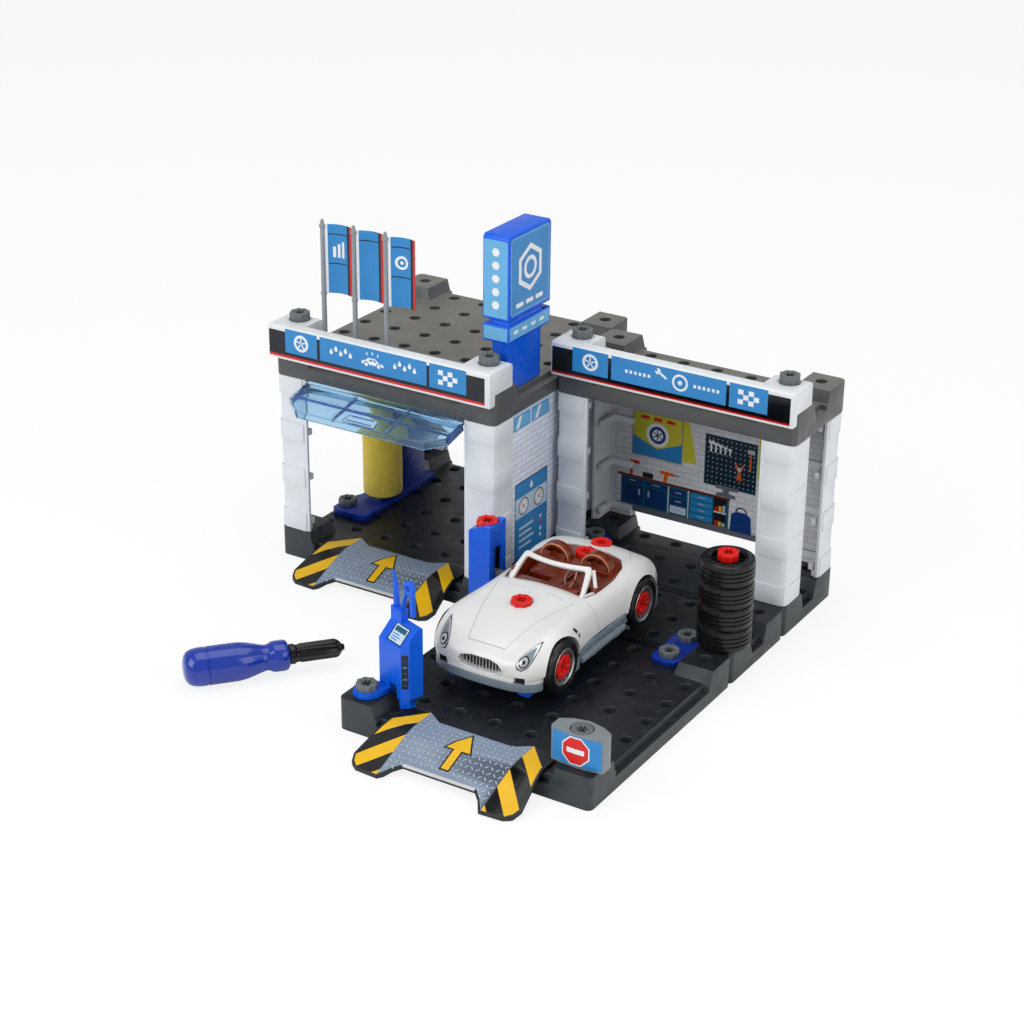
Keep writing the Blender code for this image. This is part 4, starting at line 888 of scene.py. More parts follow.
# Prints: flat shapes on a sheet of their own (u to the right, v upward), each a thin layer
# over the ones before it, with its colour stored on the face corners.
class Sheet:
    def __init__(self, place, rise=0.03):
        self.bm = bmesh.new()
        self.ink = self.bm.loops.layers.float_color.new("ink")
        self.place = place
        self.rise = rise

    def fill(self, outline, low, high, colour):
        fresh = slab(self.bm, outline, low, high)
        for face in {f for v in fresh for f in v.link_faces}:
            for loop in face.loops:
                loop[self.ink] = inks[colour]

    def shape(self, outline, colour, layer=1):
        self.fill(outline, -0.02, layer * self.rise, colour)

    def rect(self, u0, u1, v0, v1, colour, layer=1):
        self.shape([(u0, v0), (u1, v0), (u1, v1), (u0, v1)], colour, layer)

    def rects(self, rows):
        for row in rows:
            self.rect(*row)

    def round(self, u, v, radius, colour, layer=1, count=32):
        self.shape(disc(u, v, radius, count), colour, layer)

    # rings about one centre, each a layer over the one before: (radius, ink)
    def rings(self, u, v, layer, *rows):
        for rank, (radius, colour) in enumerate(rows):
            self.round(u, v, radius, colour, layer + rank)

    def line(self, points, width, colour, layer=1):
        self.shape(stroke(points, width), colour, layer)

    def done(self, name, cuts=()):
        for axis, value in cuts:
            geom = list(self.bm.verts) + list(self.bm.edges) + list(self.bm.faces)
            way = (1, 0, 0) if axis == "u" else (0, 1, 0)
            bmesh.ops.bisect_plane(self.bm, geom=geom, plane_co=[c * value for c in way], plane_no=way)
        for v in self.bm.verts:
            v.co = Vector(self.place(*v.co))
        finish(name, self.bm, "ink", "station", sharp=50.0)


def stroke(points, width):
    left, right = [], []
    for k, (a, b) in enumerate(points):
        p = Vector(points[max(k - 1, 0)])
        q = Vector(points[min(k + 1, len(points) - 1)])
        way = (q - p).normalized() * width / 2
        left.append((a - way.y, b + way.x))
        right.append((a + way.y, b - way.x))
    return left + right[::-1]


def arc(u, v, radius, start, end, count=16):
    angles = [math.radians(start + (end - start) * k / count) for k in range(count + 1)]
    return [(u + radius * math.cos(angle), v + radius * math.sin(angle)) for angle in angles]


def scaled(points, u, v, size, turn=0.0):
    c, s = math.cos(math.radians(turn)), math.sin(math.radians(turn))
    return [(u + size * (a * c - b * s), v + size * (a * s + b * c)) for a, b in points]


inks = {
    "white": tone(226, 229, 232), "pale": tone(190, 208, 228), "blue": tone(38, 128, 192),
    "deep": tone(12, 56, 120), "sky": tone(96, 168, 214), "night": tone(14, 19, 30), "red": tone(206, 24, 24),
    "grey": tone(122, 130, 140), "silver": tone(168, 176, 186), "yellow": tone(226, 176, 12),
    "lime": tone(196, 190, 50), "teal": tone(16, 88, 110), "orange": tone(216, 92, 16),
    "black": tone(12, 13, 15), "floor": tone(96, 102, 110), "wood": tone(96, 34, 22),
    "steel": tone(122, 138, 158), "lustre": tone(176, 188, 204), "cabinet": tone(8, 52, 108),
    "peg": tone(12, 34, 48),
}

# Pictograms, drawn one unit high round their own middle.
carSide = [(-1.1, -0.22), (-1.1, 0.02), (-0.72, 0.1), (-0.42, 0.38), (0.3, 0.38), (0.62, 0.08), (1.08, 0.0),
           (1.12, -0.22)]
dropShape = [(0.0, 0.5)] + arc(0.0, -0.12, 0.3, 25, -205, 18)
spannerHead = [(0.12, -0.2)] + arc(0.0, 0.0, 0.42, -50, 60, 10) + [(0.1, 0.08), (-0.1, 0.08)] + arc(
    0.0, 0.0, 0.42, 120, 230, 10) + [(-0.12, -0.2)]


def washMark(sheet, u, v, size):
    layer = 3
    sheet.shape(scaled(carSide, u, v, size), "white", layer)
    for du in (-0.62, 0.62):
        sheet.round(u + du * size, v - 0.22 * size, 0.26 * size, "blue", layer + 1, 24)
        sheet.round(u + du * size, v - 0.22 * size, 0.17 * size, "white", layer + 2, 24)
    for pane in ([(-0.36, 0.1), (-0.22, 0.28), (0.0, 0.28), (0.0, 0.1)],
                 [(0.1, 0.1), (0.1, 0.28), (0.26, 0.28), (0.42, 0.1)]):
        sheet.shape(scaled(pane, u, v, size), "blue", layer + 1)
    for du, dv in ((-0.55, 0.72), (0.0, 0.82), (0.55, 0.72)):
        sheet.shape(scaled(dropShape, u + du * size, v + dv * size, 0.34 * size), "pale", layer)


def spannerMark(sheet, u, v, size, turn, colour, layer=3):
    sheet.shape(scaled(spannerHead, u, v, size, turn), colour, layer)
    c, s = math.cos(math.radians(turn)), math.sin(math.radians(turn))
    ends = [(u + size * 0.15 * s, v - size * 0.15 * c), (u + size * 1.5 * s, v - size * 1.5 * c)]
    sheet.line(ends, 0.3 * size, colour, layer)


# Fascias: white boards with a printed strip; the heights are shared by both.
board = {"white": 164.6, "red": 166.4, "strip": 169.0, "marks": 178.0, "panel": 184.6, "top": 187.0}
fasciaPrint = {
    "wash": {"x0": plan["washX"], "y": plan["midY"] - 7.0, "ends": (15.2, 186.6),
             "panels": (45.0, 139.6, 171.5)},
    "bay": {"x0": 0.0, "y": plan["bayY"] - 7.0, "ends": (17.5, 188.4),
            "panels": (48.0, 141.0, 171.4)},
}
for which, form in fasciaPrint.items():
    node = "fascia_" + which
    x0, face = form["x0"], form["y"]
    moulded(node, "sign", "station", 0.5, 2)
    sheet = Sheet(lambda u, v, w: (x0 + u, face - w, v))
    first, last = form["ends"]
    a, b, c = form["panels"]
    marks = board["marks"]
    sheet.rect(0.6, last, board["white"], board["red"], "red")
    sheet.rect(0.6, last, board["red"], board["panel"], "night")
    for u0, u1 in ((first, a - 1.4), (a + 1.2, b - 1.2), (b + 1.2, c)):
        sheet.rect(u0, u1, board["strip"], board["top"], "blue", 2)
    for u in (a, b):
        sheet.rect(u - 1.0, u + 1.0, board["panel"] + 0.2, board["top"], "white", 3)
    middle = (a + b) / 2
    if which == "wash":
        for k in range(5):
            for u in (middle - 36.0 + k * 4.2, middle + 36.0 - k * 4.2):
                sheet.shape(scaled(dropShape, u, marks + (k % 2) * 2.6, 5.0), "white", 3)
        washMark(sheet, middle, 176.6, 8.6)
    else:
        spannerMark(sheet, middle - 8.0, 183.0, 5.4, 58, "white")
        for k in range(6):
            u = middle - 34.0 + k * 3.6
            for u0, u1 in ((u, u + 2.0), (2 * middle - u - 2.0 + 6, 2 * middle - u + 6)):
                sheet.rect(u0, u1, 176.6, 179.0, "white", 3)
        sheet.rings(middle + 9.5, marks, 3, (6.2, "white"), (4.6, "blue"), (1.7, "white"))
    # Side panels: a tyre on the left and a flag on the right.
    left, right = (first + a - 1.4) / 2, (b + 1.2 + c) / 2
    sheet.rings(left, marks, 3, (6.4, "white"), (4.4, "blue"))
    for k in range(5):
        tip = scaled([(0.0, 1.0)], left, marks, 4.4, 72 * k)[0]
        sheet.line([(left, marks), tip], 1.0, "white", 5)
    for k in range(4):
        for row in range(3):
            if (k + row) % 2 == 0:
                sheet.rect(right - 8.0 + k * 4.0, right - 4.0 + k * 4.0,
                           172.6 + row * 3.6, 176.2 + row * 3.6, "white", 3)
    sheet.done("fascia_print_" + which)

for which in ("wash", "bay"):
    for end in ("front_left", "front_right", "rear_left", "rear_right"):
        moulded("pillar_" + which + "_" + end, "white", "station", 0.62, 2, None, 30.0)
print("fascias and pillars set")


# Walls: brick print on the outside, a printed room on the bay's inner face.
walls = {"bayFace": 349.5, "washFace": -3.6}
moulded("wall_bay", "brickBay", "station", 0.3, 1)
moulded("wall_wash", "brickWash", "station", 0.3, 1)

room = Sheet(lambda u, v, w: (u, walls["bayFace"] - w, v))
room.rects(((10.8, 180.0, 29.0, 34.0, "floor"), (23.0, 66.0, 76.0, 112.5, "grey"),
            (24.0, 65.0, 77.0, 111.5, "lime", 2)))
room.shape([(24.0, 77.0), (65.0, 77.0), (65.0, 92.0), (44.5, 84.0), (24.0, 92.0)], "blue", 3)
for k in range(3):
    room.rect(30.0 + k * 11.0, 37.0 + k * 11.0, 106.6, 109.4, "red", 4)
room.rings(44.5, 95.4, 4, (9.6, "white"), (7.0, "deep"), (4.6, "white"))
for k in range(6):
    tip = scaled([(0.0, 1.0)], 44.5, 95.4, 4.4, 60 * k)[0]
    room.line([(44.5, 95.4), tip], 0.9, "deep", 7)
room.shape([(65.5, 113.0), (71.0, 113.0), (78.0, 79.0), (66.5, 79.0)], "lime", 1)
room.rects(((84.6, 127.7, 66.3, 106.7, "teal"), (85.3, 127.0, 67.0, 106.0, "peg", 2)))
for column in range(11):
    for row in range(10):
        room.round(87.6 + column * 3.75, 69.2 + row * 3.85, 0.46, "pale", 3, 8)
for k in range(5):
    spannerMark(room, 89.6 + 3.9 * k, 100.8 - 0.8 * k, 5.2 - 0.5 * k, 0, "white", 4)
room.line([(110.2, 88.0), (113.2, 82.0), (112.0, 74.6)], 1.5, "orange", 4)
room.line([(116.8, 88.0), (113.8, 82.0), (115.0, 74.6)], 1.5, "orange", 4)
room.round(113.5, 83.8, 1.8, "silver", 5, 16)
room.line([(122.4, 100.0), (122.4, 84.0)], 1.3, "orange", 4)
room.rect(119.6, 125.4, 98.0, 101.4, "silver", 5)
room.shape([(128.6, 113.0), (134.0, 113.0), (131.0, 80.0), (128.6, 80.0)], "lime")
room.rects(((11.5, 107.3, 56.6, 58.6, "wood", 3), (14.6, 55.0, 34.0, 56.6, "teal", 2),
            (56.0, 72.0, 34.0, 56.6, "teal", 2), (73.0, 94.0, 34.0, 56.6, "teal", 2)))
for u in (14.6, 34.8):
    room.rects(((u + 1.0, u + 19.2, 35.2, 50.6, "cabinet", 3), (u + 1.0, u + 19.2, 51.6, 55.8, "cabinet", 3),
                (u + 7.0, u + 13.0, 53.6, 54.3, "silver", 4)))
    handle = u + (15.0 if u < 20 else 3.0)
    room.rect(handle, handle + 1.6, 43.0, 48.0, "silver", 4)
for row in range(3):
    room.rect(57.2, 70.8, 35.4 + row * 7.1, 41.3 + row * 7.1, "cabinet" if row else "pale", 3)
    room.rect(61.5, 66.5, 38.0 + row * 7.1, 38.8 + row * 7.1, "silver", 4)
for row in range(4):
    room.rect(74.2, 92.8, 35.2 + row * 5.35, 39.6 + row * 5.35, "blue", 3)
    room.rect(80.5, 86.5, 37.0 + row * 5.35, 37.8 + row * 5.35, "silver", 4)
room.rects(((104.6, 106.6, 34.0, 56.6, "teal", 2), (94.0, 104.6, 34.0, 44.6, "night", 2),
            (94.0, 104.6, 45.8, 56.6, "night", 2)))
for k, colour in enumerate(("red", "yellow", "silver")):
    room.rect(95.2 + k * 3.1, 97.4 + k * 3.1, 46.0, 49.6 + k, colour, 3)
    room.rect(95.2 + k * 3.1, 97.6 + k * 3.1, 34.4, 38.6 - k * 0.6, colour, 3)
room.shape([(95.0, 58.8), (112.0, 58.8), (111.0, 61.4), (106.0, 62.4), (106.0, 64.6), (113.6, 65.0),
            (113.6, 67.8), (94.6, 67.8), (94.6, 65.0), (101.0, 64.6), (101.0, 62.4), (96.0, 61.4)],
           "floor", 4)
room.shape([(48.0, 67.6), (59.6, 67.6), (59.6, 64.8), (54.6, 64.8), (53.4, 58.8), (50.6, 58.8),
            (51.4, 64.8), (48.0, 64.8)], "orange", 4)
room.rect(59.6, 64.2, 65.8, 66.6, "black", 4)
room.shape([(22.0, 58.8), (24.4, 58.8), (24.4, 68.4), (30.0, 68.4), (30.0, 71.0), (22.0, 71.0)], "red", 4)
room.rects(((33.0, 42.0, 58.8, 63.0, "night", 4), (34.4, 40.6, 63.0, 64.2, "silver", 4)))
room.shape([(108.0, 33.0), (126.0, 33.0), (125.0, 47.0), (121.0, 49.6), (113.0, 49.6), (109.0, 47.0)],
           "deep", 4)
room.line(arc(117.0, 48.6, 4.6, 10, 170, 10), 1.1, "night", 3)
for k, colour in enumerate(("red", "grey", "red")):
    room.rect(134.0, 160.0, 34.0 + k * 11.0, 44.4 + k * 11.0, colour, 2)
    room.rect(143.0, 151.0, 38.6 + k * 11.0, 40.0 + k * 11.0, "silver", 3)
room.done("bay_print")

# Wash wall, outer side: a window band and a panel with two dials.
side = Sheet(lambda u, v, w: (walls["washFace"] + w, u, v))
side.shape([(217.6, 130.6), (272.4, 130.6), (270.6, 146.4), (219.4, 146.4)], "pale")
for u0, u1, lean0, lean1 in ((220.2, 243.8, 1.0, 0.0), (246.2, 269.8, 0.0, -1.0)):
    side.shape([(u0, 131.6), (u1, 131.6), (u1 + lean1, 142.4), (u0 + lean0, 142.4)], "blue", 2)
    side.shape([(u0 + 0.9, 132.5), (u1 - 0.9, 132.5), (u1 - 0.9 + lean1, 141.5), (u0 + 0.9 + lean0, 141.5)],
               "sky", 3)
    side.shape([(u0 + 4.0, 132.5), (u0 + 8.0, 132.5), (u0 + 13.0, 141.5), (u0 + 9.0, 141.5)], "white", 4)
side.rects(((224.0, 269.0, 28.4, 89.4, "night"), (224.8, 268.3, 29.2, 88.6, "blue", 2),
            (224.8, 268.3, 61.0, 77.0, "pale", 3)))
for u in (236.0, 257.0):
    side.rings(u, 69.0, 4, (6.8, "night"), (5.9, "white"))
    for k in range(9):
        a, b = scaled([(0.0, 0.80), (0.0, 0.98)], u, 69.0, 5.6, -120 + 30 * k)
        side.line([a, b], 0.4, "night", 6)
    side.line([(u, 69.0), scaled([(0.0, 0.75)], u, 69.0, 5.6, 40 if u < 240 else -35)[0]], 0.6, "red", 7)
    side.round(u, 69.0, 0.9, "night", 8, 16)
for k in range(4):
    side.rect(230.0, 250.0 - 3.0 * (k % 2), 51.0 - k * 5.0, 53.0 - k * 5.0, "pale", 3)
    side.round(260.0, 52.0 - k * 5.0, 1.5, "red" if k == 1 else "white", 3, 16)
side.shape(scaled(dropShape, 246.6, 82.8, 7.0), "white", 3)
side.done("wash_print")
print("walls printed")


# Flap doors: clear blue shells with darker ribs.
doorForm = {"angle": 13.0, "out": 36.0, "half": plan["wide"] / 2 - 26.3,
            "x": plan["washX"] + plan["wide"] / 2, "z": plan["roof"] - 2.3}


def buildDoor(node, front):
    form = doorForm
    y = plan["midY"] + 3.4
    mid, half, z = form["x"], form["half"], form["z"]

    def placed(bm):
        turn = Matrix.Rotation(math.radians(form["angle"]), 4, "X")
        bm.transform(Matrix.Translation((0, y, z)) @ turn @ Matrix.Translation((0, -y, -z)))
        if not front:
            for v in bm.verts:
                v.co.y = 2 * (plan["midY"] + plan["deep"] / 2) - v.co.y
        return bm

    moulded(node, "clear", node, 0.35, 2, None, 30.0)
    ribs = bmesh.new()
    for x in (mid - half / 3, mid + half / 3):
        block(ribs, x - 0.6, x + 0.6, y - form["out"] + 2.4, y - 3.4, z - 2.6, z - 1.5)
    block(ribs, mid - half + 2.6, mid + half - 2.6, y - 19.2, y - 18.0, z - 2.6, z - 1.5)
    for a, b in ((mid - half + 1.4, mid - half + 3.0), (mid + half - 3.0, mid + half - 1.4)):
        block(ribs, a, b, y - form["out"] + 13.0, y - 4.0, z - 5.0, z - 1.5)
    for a, b, low, high in ((mid - 11.0, mid + 11.0, 2.0, 2.9), (mid - 9.4, mid + 9.4, 7.6, 8.5)):
        block(ribs, a, b, y - form["out"] + low, y - form["out"] + high, z + 2.05, z + 2.35)
    soften(ribs, 0.2, 2)
    finish(node + "_ribs", placed(ribs), "clearRib", node)


buildDoor("door_front", True)
buildDoor("door_rear", False)

# Foam rollers on their pins.
rollerForm = {"side": 27.6, "y": 286.1}
for side, x in (("left", plan["washX"] + rollerForm["side"]),
                ("right", plan["washX"] + plan["wide"] - rollerForm["side"])):
    foot = (x, rollerForm["y"], 0)
    bm = bmesh.new()
    stacked(bm, [(2.6, 16.3), (2.6, 22.0), (6.0, 22.2), (6.0, 22.5)], foot, "z", 32)
    stacked(bm, [(6.0, 131.9), (6.0, 132.3), (2.6, 132.4), (2.6, 137.3), (2.2, 137.4)], foot, "z", 32)
    finish("roller_pin_" + side, bm, "navy", "brush_" + side, "brush_roller_" + side)
    bm = bmesh.new()
    stacked(bm, [(3.0, 22.5), (13.4, 22.5), (15.0, 23.6), (15.5, 25.2), (15.5, 60.0), (15.5, 96.0),
                 (15.5, 129.2), (15.0, 130.8), (13.4, 131.9), (3.0, 131.9)], foot, "z", 56)
    roller = finish("foam_roller_" + side, bm, "foam", "brush_" + side)

# Pylon sign: post, band and light box with a nut for a badge.
moulded("pylon_sign", "blue", "station", 0.9, 3)
for name, x, way in (("pylon_print_right", -6.0, 1.0), ("pylon_print_left", -27.4, -1.0)):
    sheet = Sheet(lambda u, v, w: (x + way * w, u, v))
    sheet.shape(roundedPlan(219.6, 270.8, 218.0, 274.0, 3.0), "sky")
    sheet.shape(roundedPlan(220.6, 269.8, 219.0, 273.0, 2.4), "blue", 2)
    sheet.shape(disc(245.2, 248.4, 17.5, 6, math.radians(30)), "white", 3)
    sheet.shape(disc(245.2, 248.4, 13.6, 6, math.radians(30)), "blue", 4)
    sheet.round(245.2, 248.4, 8.4, "white", 5, 40)
    sheet.round(245.2, 248.4, 5.4, "blue", 6, 40)
    for k in range(3):
        sheet.rect(227.0 + k * 13.0, 236.4 + k * 13.0, 222.4, 225.6, "white", 3)
    sheet.rect(218.6, 271.8, 200.4, 210.0, "sky")
    for k in range(4):
        sheet.rect(224.0 + k * 11.6, 230.0 + k * 11.6, 204.0, 206.4, "white", 2)
    sheet.done(name)
sheet = Sheet(lambda u, v, w: (u, 217.0 - w, v))
sheet.shape(roundedPlan(-26.4, -7.0, 217.0, 273.0, 1.2), "sky")
sheet.rect(-26.4, -7.0, 200.4, 210.0, "sky")
for row in range(5):
    sheet.shape(disc(-16.7, 226.0 + row * 9.6, 3.2, 6), "white", 2)
sheet.done("pylon_print_front")

# Flags: tapered pole on a plug, and a cloth that bows between its strips.
flagForm = {"side": 4.8, "low": 212.5, "high": 264.0, "wide": 22.0}
flagMarks = {"flag_one": "bars", "flag_two": "plain", "flag_three": "ring"}
for column, node in enumerate(("flag_one", "flag_two", "flag_three"), 1):
    hx, hy = holeAt(plan["washX"], plan["midY"], column, 0)
    px, deck = hx - flagForm["side"], plan["roof"] + plan["deck"]
    bm = bmesh.new()
    plug = [(3.2, -2.3), (3.6, -1.6), (3.6, 0.35), (5.2, 0.35), (5.5, 0.8), (5.2, 3.0), (4.6, 3.4)]
    pole = [(2.9, 0.4), (2.6, 3.4), (1.95, 5.6), (1.75, 60.0), (1.6, 103.0), (1.2, 105.6), (0.4, 106.5)]
    stacked(bm, [(radius, deck + high) for radius, high in plug], (hx, hy, 0), "z", 32)
    stacked(bm, [(radius, deck + high) for radius, high in pole], (px, hy, 0), "z", 24)
    for high in (212.0, 262.6):
        stacked(bm, [(1.8, high - 1.2), (2.3, high - 0.9), (2.3, high + 0.9), (1.8, high + 1.2)],
                (px, hy, 0), "z", 24)
    finish(node + "_pole", bm, "pole", "station", node)

    def cloth(u, v, w):
        t = u / flagForm["wide"]
        y = hy + 0.4 + 3.0 * t + 3.2 * math.sin(math.pi * t)
        return (px + 0.7 + u, y - w, v)

    sheet = Sheet(cloth, 1.0)
    low, high, wide = flagForm["low"], flagForm["high"], flagForm["wide"]
    for u0, u1, colour in ((0.0, 2.6, "white"), (2.6, 17.6, "blue"), (17.6, 20.0, "night"),
                           (20.0, wide, "red")):
        sheet.fill([(u0, low), (u1, low), (u1, high), (u0, high)], -0.28, 0.28, colour)
    lines = [(2.8, 17.4, high - 7.6, high - 6.8, "night")]
    if flagMarks[node] != "plain":
        lines.append((2.8, 17.4, low + 22.0, low + 22.8, "night"))
    if flagMarks[node] == "bars":
        lines += [(6.0 + 3.4 * k, 8.0 + 3.4 * k, low + 27.0, low + 35.0 + 2.0 * k, "white") for k in range(3)]
    marks = [([(u0, v0), (u1, v0), (u1, v1), (u0, v1)], c) for u0, u1, v0, v1, c in lines]
    if flagMarks[node] == "ring":
        marks += [(disc(10.2, low + 33.0, 5.0, 28), "white"), (disc(10.2, low + 33.0, 3.2, 28), "blue"),
                  (disc(10.2, low + 33.0, 1.3, 20), "white")]
    for back in (False, True):
        for rank, (outline, colour) in enumerate(marks):
            deep = 0.30 + 0.03 * rank
            sheet.fill(outline, *((-deep, -0.2) if back else (0.2, deep)), colour)
    sheet.done(node + "_cloth", [("u", wide * k / 14) for k in range(1, 14)])
print("doors, rollers, pylon and flags built")


# Ramps: dark edge, printed deck that follows the slope, and a pale lip.
rampForm = {"knots": (-36.0, -28.0, -16.0, -4.0, 4.0), "front": (95.4, 0.0),
            "wash": (plan["washX"] + 95.4, plan["midY"])}
rampTop = [(-45.0, 1.6), (-36.0, 3.2), (-28.0, 6.0), (-16.0, 10.6), (-4.0, 14.9), (4.0, 16.6), (30.0, 16.9)]


def rampHeight(y):
    for (a, low), (b, high) in zip(rampTop, rampTop[1:]):
        if y <= b:
            return low + (high - low) * (y - a) / (b - a)
    return rampTop[-1][1]


def wing(sign):
    line = [(39.2, 25.2), (51.5, 25.2), (56.6, 20.2), (56.6, 4.0), (61.6, -27.6), (59.2, -33.2),
            (54.6, -37.0), (39.2, -37.8)]
    return [(sign * a, b) for a, b in line]


# The part of an outline where a * x + b * y is at least c.
def clipped(outline, a, b, c):
    kept = []
    for k, p in enumerate(outline):
        q = outline[(k + 1) % len(outline)]
        dp, dq = a * p[0] + b * p[1] - c, a * q[0] + b * q[1] - c
        if dp >= 0:
            kept.append(p)
        if dp * dq < 0:
            t = dp / (dp - dq)
            kept.append((p[0] + t * (q[0] - p[0]), p[1] + t * (q[1] - p[1])))
    return kept


for which in ("wash", "front"):
    cx, y0 = rampForm[which]
    node = "ramp_" + which
    moulded(node, "rampEdge", "station", 0.35, 2, None, 24.0)
    sheet = Sheet(lambda u, v, w: (cx + u, y0 + v, rampHeight(v) + w), 0.035)
    for sign in (-1, 1):
        sheet.shape(wing(sign), "black")
        for k in range(-8, 9):
            low = k * 19.6 - 3.0
            strip = clipped(clipped(wing(sign), sign * 0.74, 0.67, low), -sign * 0.74, -0.67, -(low + 9.8))
            if len(strip) > 2:
                sheet.shape(strip, "yellow", 2)
    tread = [(-39.2, -37.6), (-33.4, -30.0), (-27.8, -24.8), (27.8, -24.8), (33.4, -30.0), (39.2, -37.6),
             (39.2, 25.2), (33.2, 21.4), (28.0, 17.6), (-28.0, 17.6), (-33.2, 21.4), (-39.2, 25.2)]
    sheet.shape(tread, "steel")
    for row in range(14):
        for column in range(19):
            u, v = -36.9 + column * 4.1, -33.0 + row * 4.2
            turn = 45 if (row + column) % 2 else -45
            out = abs(u)
            past = out < 27.5 or (v > -24.8 - (out - 27.5) * 0.9)
            before = out < 27.0 or v < 16.4 + (out - 27) * 0.7
            if (past and before and -24.0 + 1.6 < v + (0 if out < 27.5 else 10.0)
                    and v < (16.2 if out < 28 else 22.5)):
                shadow = scaled([(-1.45, 0.0), (1.45, 0.0)], u + 0.25, v - 0.25, 1.0, turn)
                sheet.line(shadow, 0.8, "floor", 2)
                sheet.line(scaled([(-1.35, 0.0), (1.35, 0.0)], u, v, 1.0, turn), 0.6, "lustre", 3)
    arrow = [(-3.9, -20.0), (3.9, -20.0), (3.9, -4.0), (10.8, -4.0), (0.0, 16.2), (-10.8, -4.0), (-3.9, -4.0)]
    inner = [(-2.7, -18.8), (2.7, -18.8), (2.7, -2.8), (8.8, -2.8), (0.0, 13.8), (-8.8, -2.8), (-2.7, -2.8)]
    sheet.shape(arrow, "black", 4)
    sheet.shape(inner, "yellow", 5)
    sheet.done(node + "_print", [("v", knot) for knot in rampForm["knots"]])
    lip = bmesh.new()
    slab(lip, [(-27.0, -26.2), (27.0, -26.2), (27.0, -24.4), (-27.0, -24.4)], 0, 0.6)
    for v in lip.verts:
        v.co = Vector((cx + v.co.x, y0 + v.co.y, rampHeight(v.co.y) - 0.3 + v.co.z))
    finish(node + "_lip", lip, "lip", "station")
print("ramps built")


# Stop block: pale front with an octagon, and a screw sunk in its top.
stopForm = {"x": stop[0] - 2.0, "y": stop[1]}
tools = bmesh.new()
slab(tools, disc(stopForm["x"], stopForm["y"] + 1.2, 7.85, 40), 44.4, 50)
moulded("stop_block", "pale", "station", 0.7, 3, tools)
bm = bmesh.new()
screwHead(bm, stopForm["x"], stopForm["y"] + 1.2, 44.0, 48.2)
finish("stop_block_screw", bm, greyScrew, "station")


def stopFace(u, v, w):
    bow = [(-18.6, -4.6), (-9.0, -6.4), (0.0, -7.0), (9.0, -6.4), (18.6, -4.6)]
    for (a, low), (b, high) in zip(bow, bow[1:]):
        if u <= b:
            return (stopForm["x"] + u, stopForm["y"] + low + (high - low) * (u - a) / (b - a) - w, v)
    return (stopForm["x"] + u, stopForm["y"] - 4.6 - w, v)


sheet = Sheet(stopFace, 0.05)
sheet.rect(-17.6, 17.6, 25.0, 46.2, "blue")
sheet.shape(disc(0.0, 35.6, 10.6, 8, math.radians(22.5)), "white", 2)
sheet.shape(disc(0.0, 35.6, 9.7, 8, math.radians(22.5)), "red", 3)
sheet.rect(-6.2, 6.2, 33.9, 37.3, "white", 4)
sheet.done("stop_print", [("u", -9.0), ("u", 0.0), ("u", 9.0)])

# Tool column: sloped screen and a strip on its front edge.
toolForm = {"turn": -20.0, "x": tool[0], "y": tool[1]}


def toolPlace(a, b, z):
    turn = math.radians(toolForm["turn"])
    return (toolForm["x"] + a * math.cos(turn) - b * math.sin(turn),
            toolForm["y"] + a * math.sin(turn) + b * math.cos(turn), z)


def screenFace(u, v, w):
    start, end = (12.1, 61.0), (23.0, 73.2)
    way = Vector((end[0] - start[0], end[1] - start[1])).normalized()
    return toolPlace(u, start[0] + way.x * v - way.y * w, start[1] + way.y * v + way.x * w)


sheet = Sheet(screenFace, 0.04)
sheet.rects(((4.6, 20.0, 1.6, 14.8, "night"), (5.6, 19.0, 2.4, 14.0, "pale", 2),
             (6.6, 18.0, 9.4, 13.0, "teal", 3)))
for k in range(3):
    sheet.rect(7.0, 13.6 + 1.6 * (k % 2), 3.6 + k * 1.8, 4.4 + k * 1.8, "blue", 3)
sheet.done("tool_screen")


# The strip lies on the slanted facet beside the front.
def toolEdge(u, v, w):
    start, end = Vector((21.2, 12.1)), Vector((24.9, 16.8))
    way = (end - start).normalized()
    return toolPlace(start.x + way.x * u + way.y * w, start.y + way.y * u - way.x * w, v)


sheet = Sheet(toolEdge, 0.04)
sheet.rect(0.7, 5.2, 32.0, 57.0, "night")
for k in range(5):
    sheet.rect(1.6, 4.3, 34.4 + k * 4.4, 35.6 + k * 4.4, "blue" if k % 2 else "deep", 2)
sheet.done("tool_strip")
print("stop block and tool column printed")


# Lift: slotted column, drive screw, carriage and fork.
liftForm = {"x": 5.2, "y": 173.4, "pitch": 6.0, "turns": 7}
tools = bmesh.new()
slab(tools, disc(liftForm["x"], liftForm["y"], 8.3, 40), 77.4, 90.0)
moulded("lift_column", "blue", "station", 0.8, 3, tools, 40.0)
bm = bmesh.new()
# Thin dark sheets on the walls of the column's slot: painted shade inside it.
block(bm, 0.44, 0.7, 169.7, 177.1, 36.2, 66.4)
block(bm, 0.7, 13.0, 176.9, 177.16, 36.2, 66.4)
finish("lift_slot_painted_shade", bm, "dark", "station")
bm = bmesh.new()
screwHead(bm, liftForm["x"], liftForm["y"], 77.8, 85.1, 7.6)
finish("lift_screw_head", bm, ["red", "dark"], "lift_screw", "lift_screw")
bm = bmesh.new()
stacked(bm, [(1.7, 33.1), (1.7, 78.0)], (liftForm["x"], liftForm["y"], 0), "z", 20)
perTurn = 16
path = []
for k in range(liftForm["turns"] * perTurn + 1):
    angle = 2 * math.pi * k / perTurn
    path.append((liftForm["x"] + 1.85 * math.cos(angle), liftForm["y"] + 1.85 * math.sin(angle),
                 34.5 + liftForm["pitch"] * k / perTurn))
tube(bm, path, 0.34, ring=6, smooth=1)
finish("lift_thread", bm, "chrome", "lift_screw")

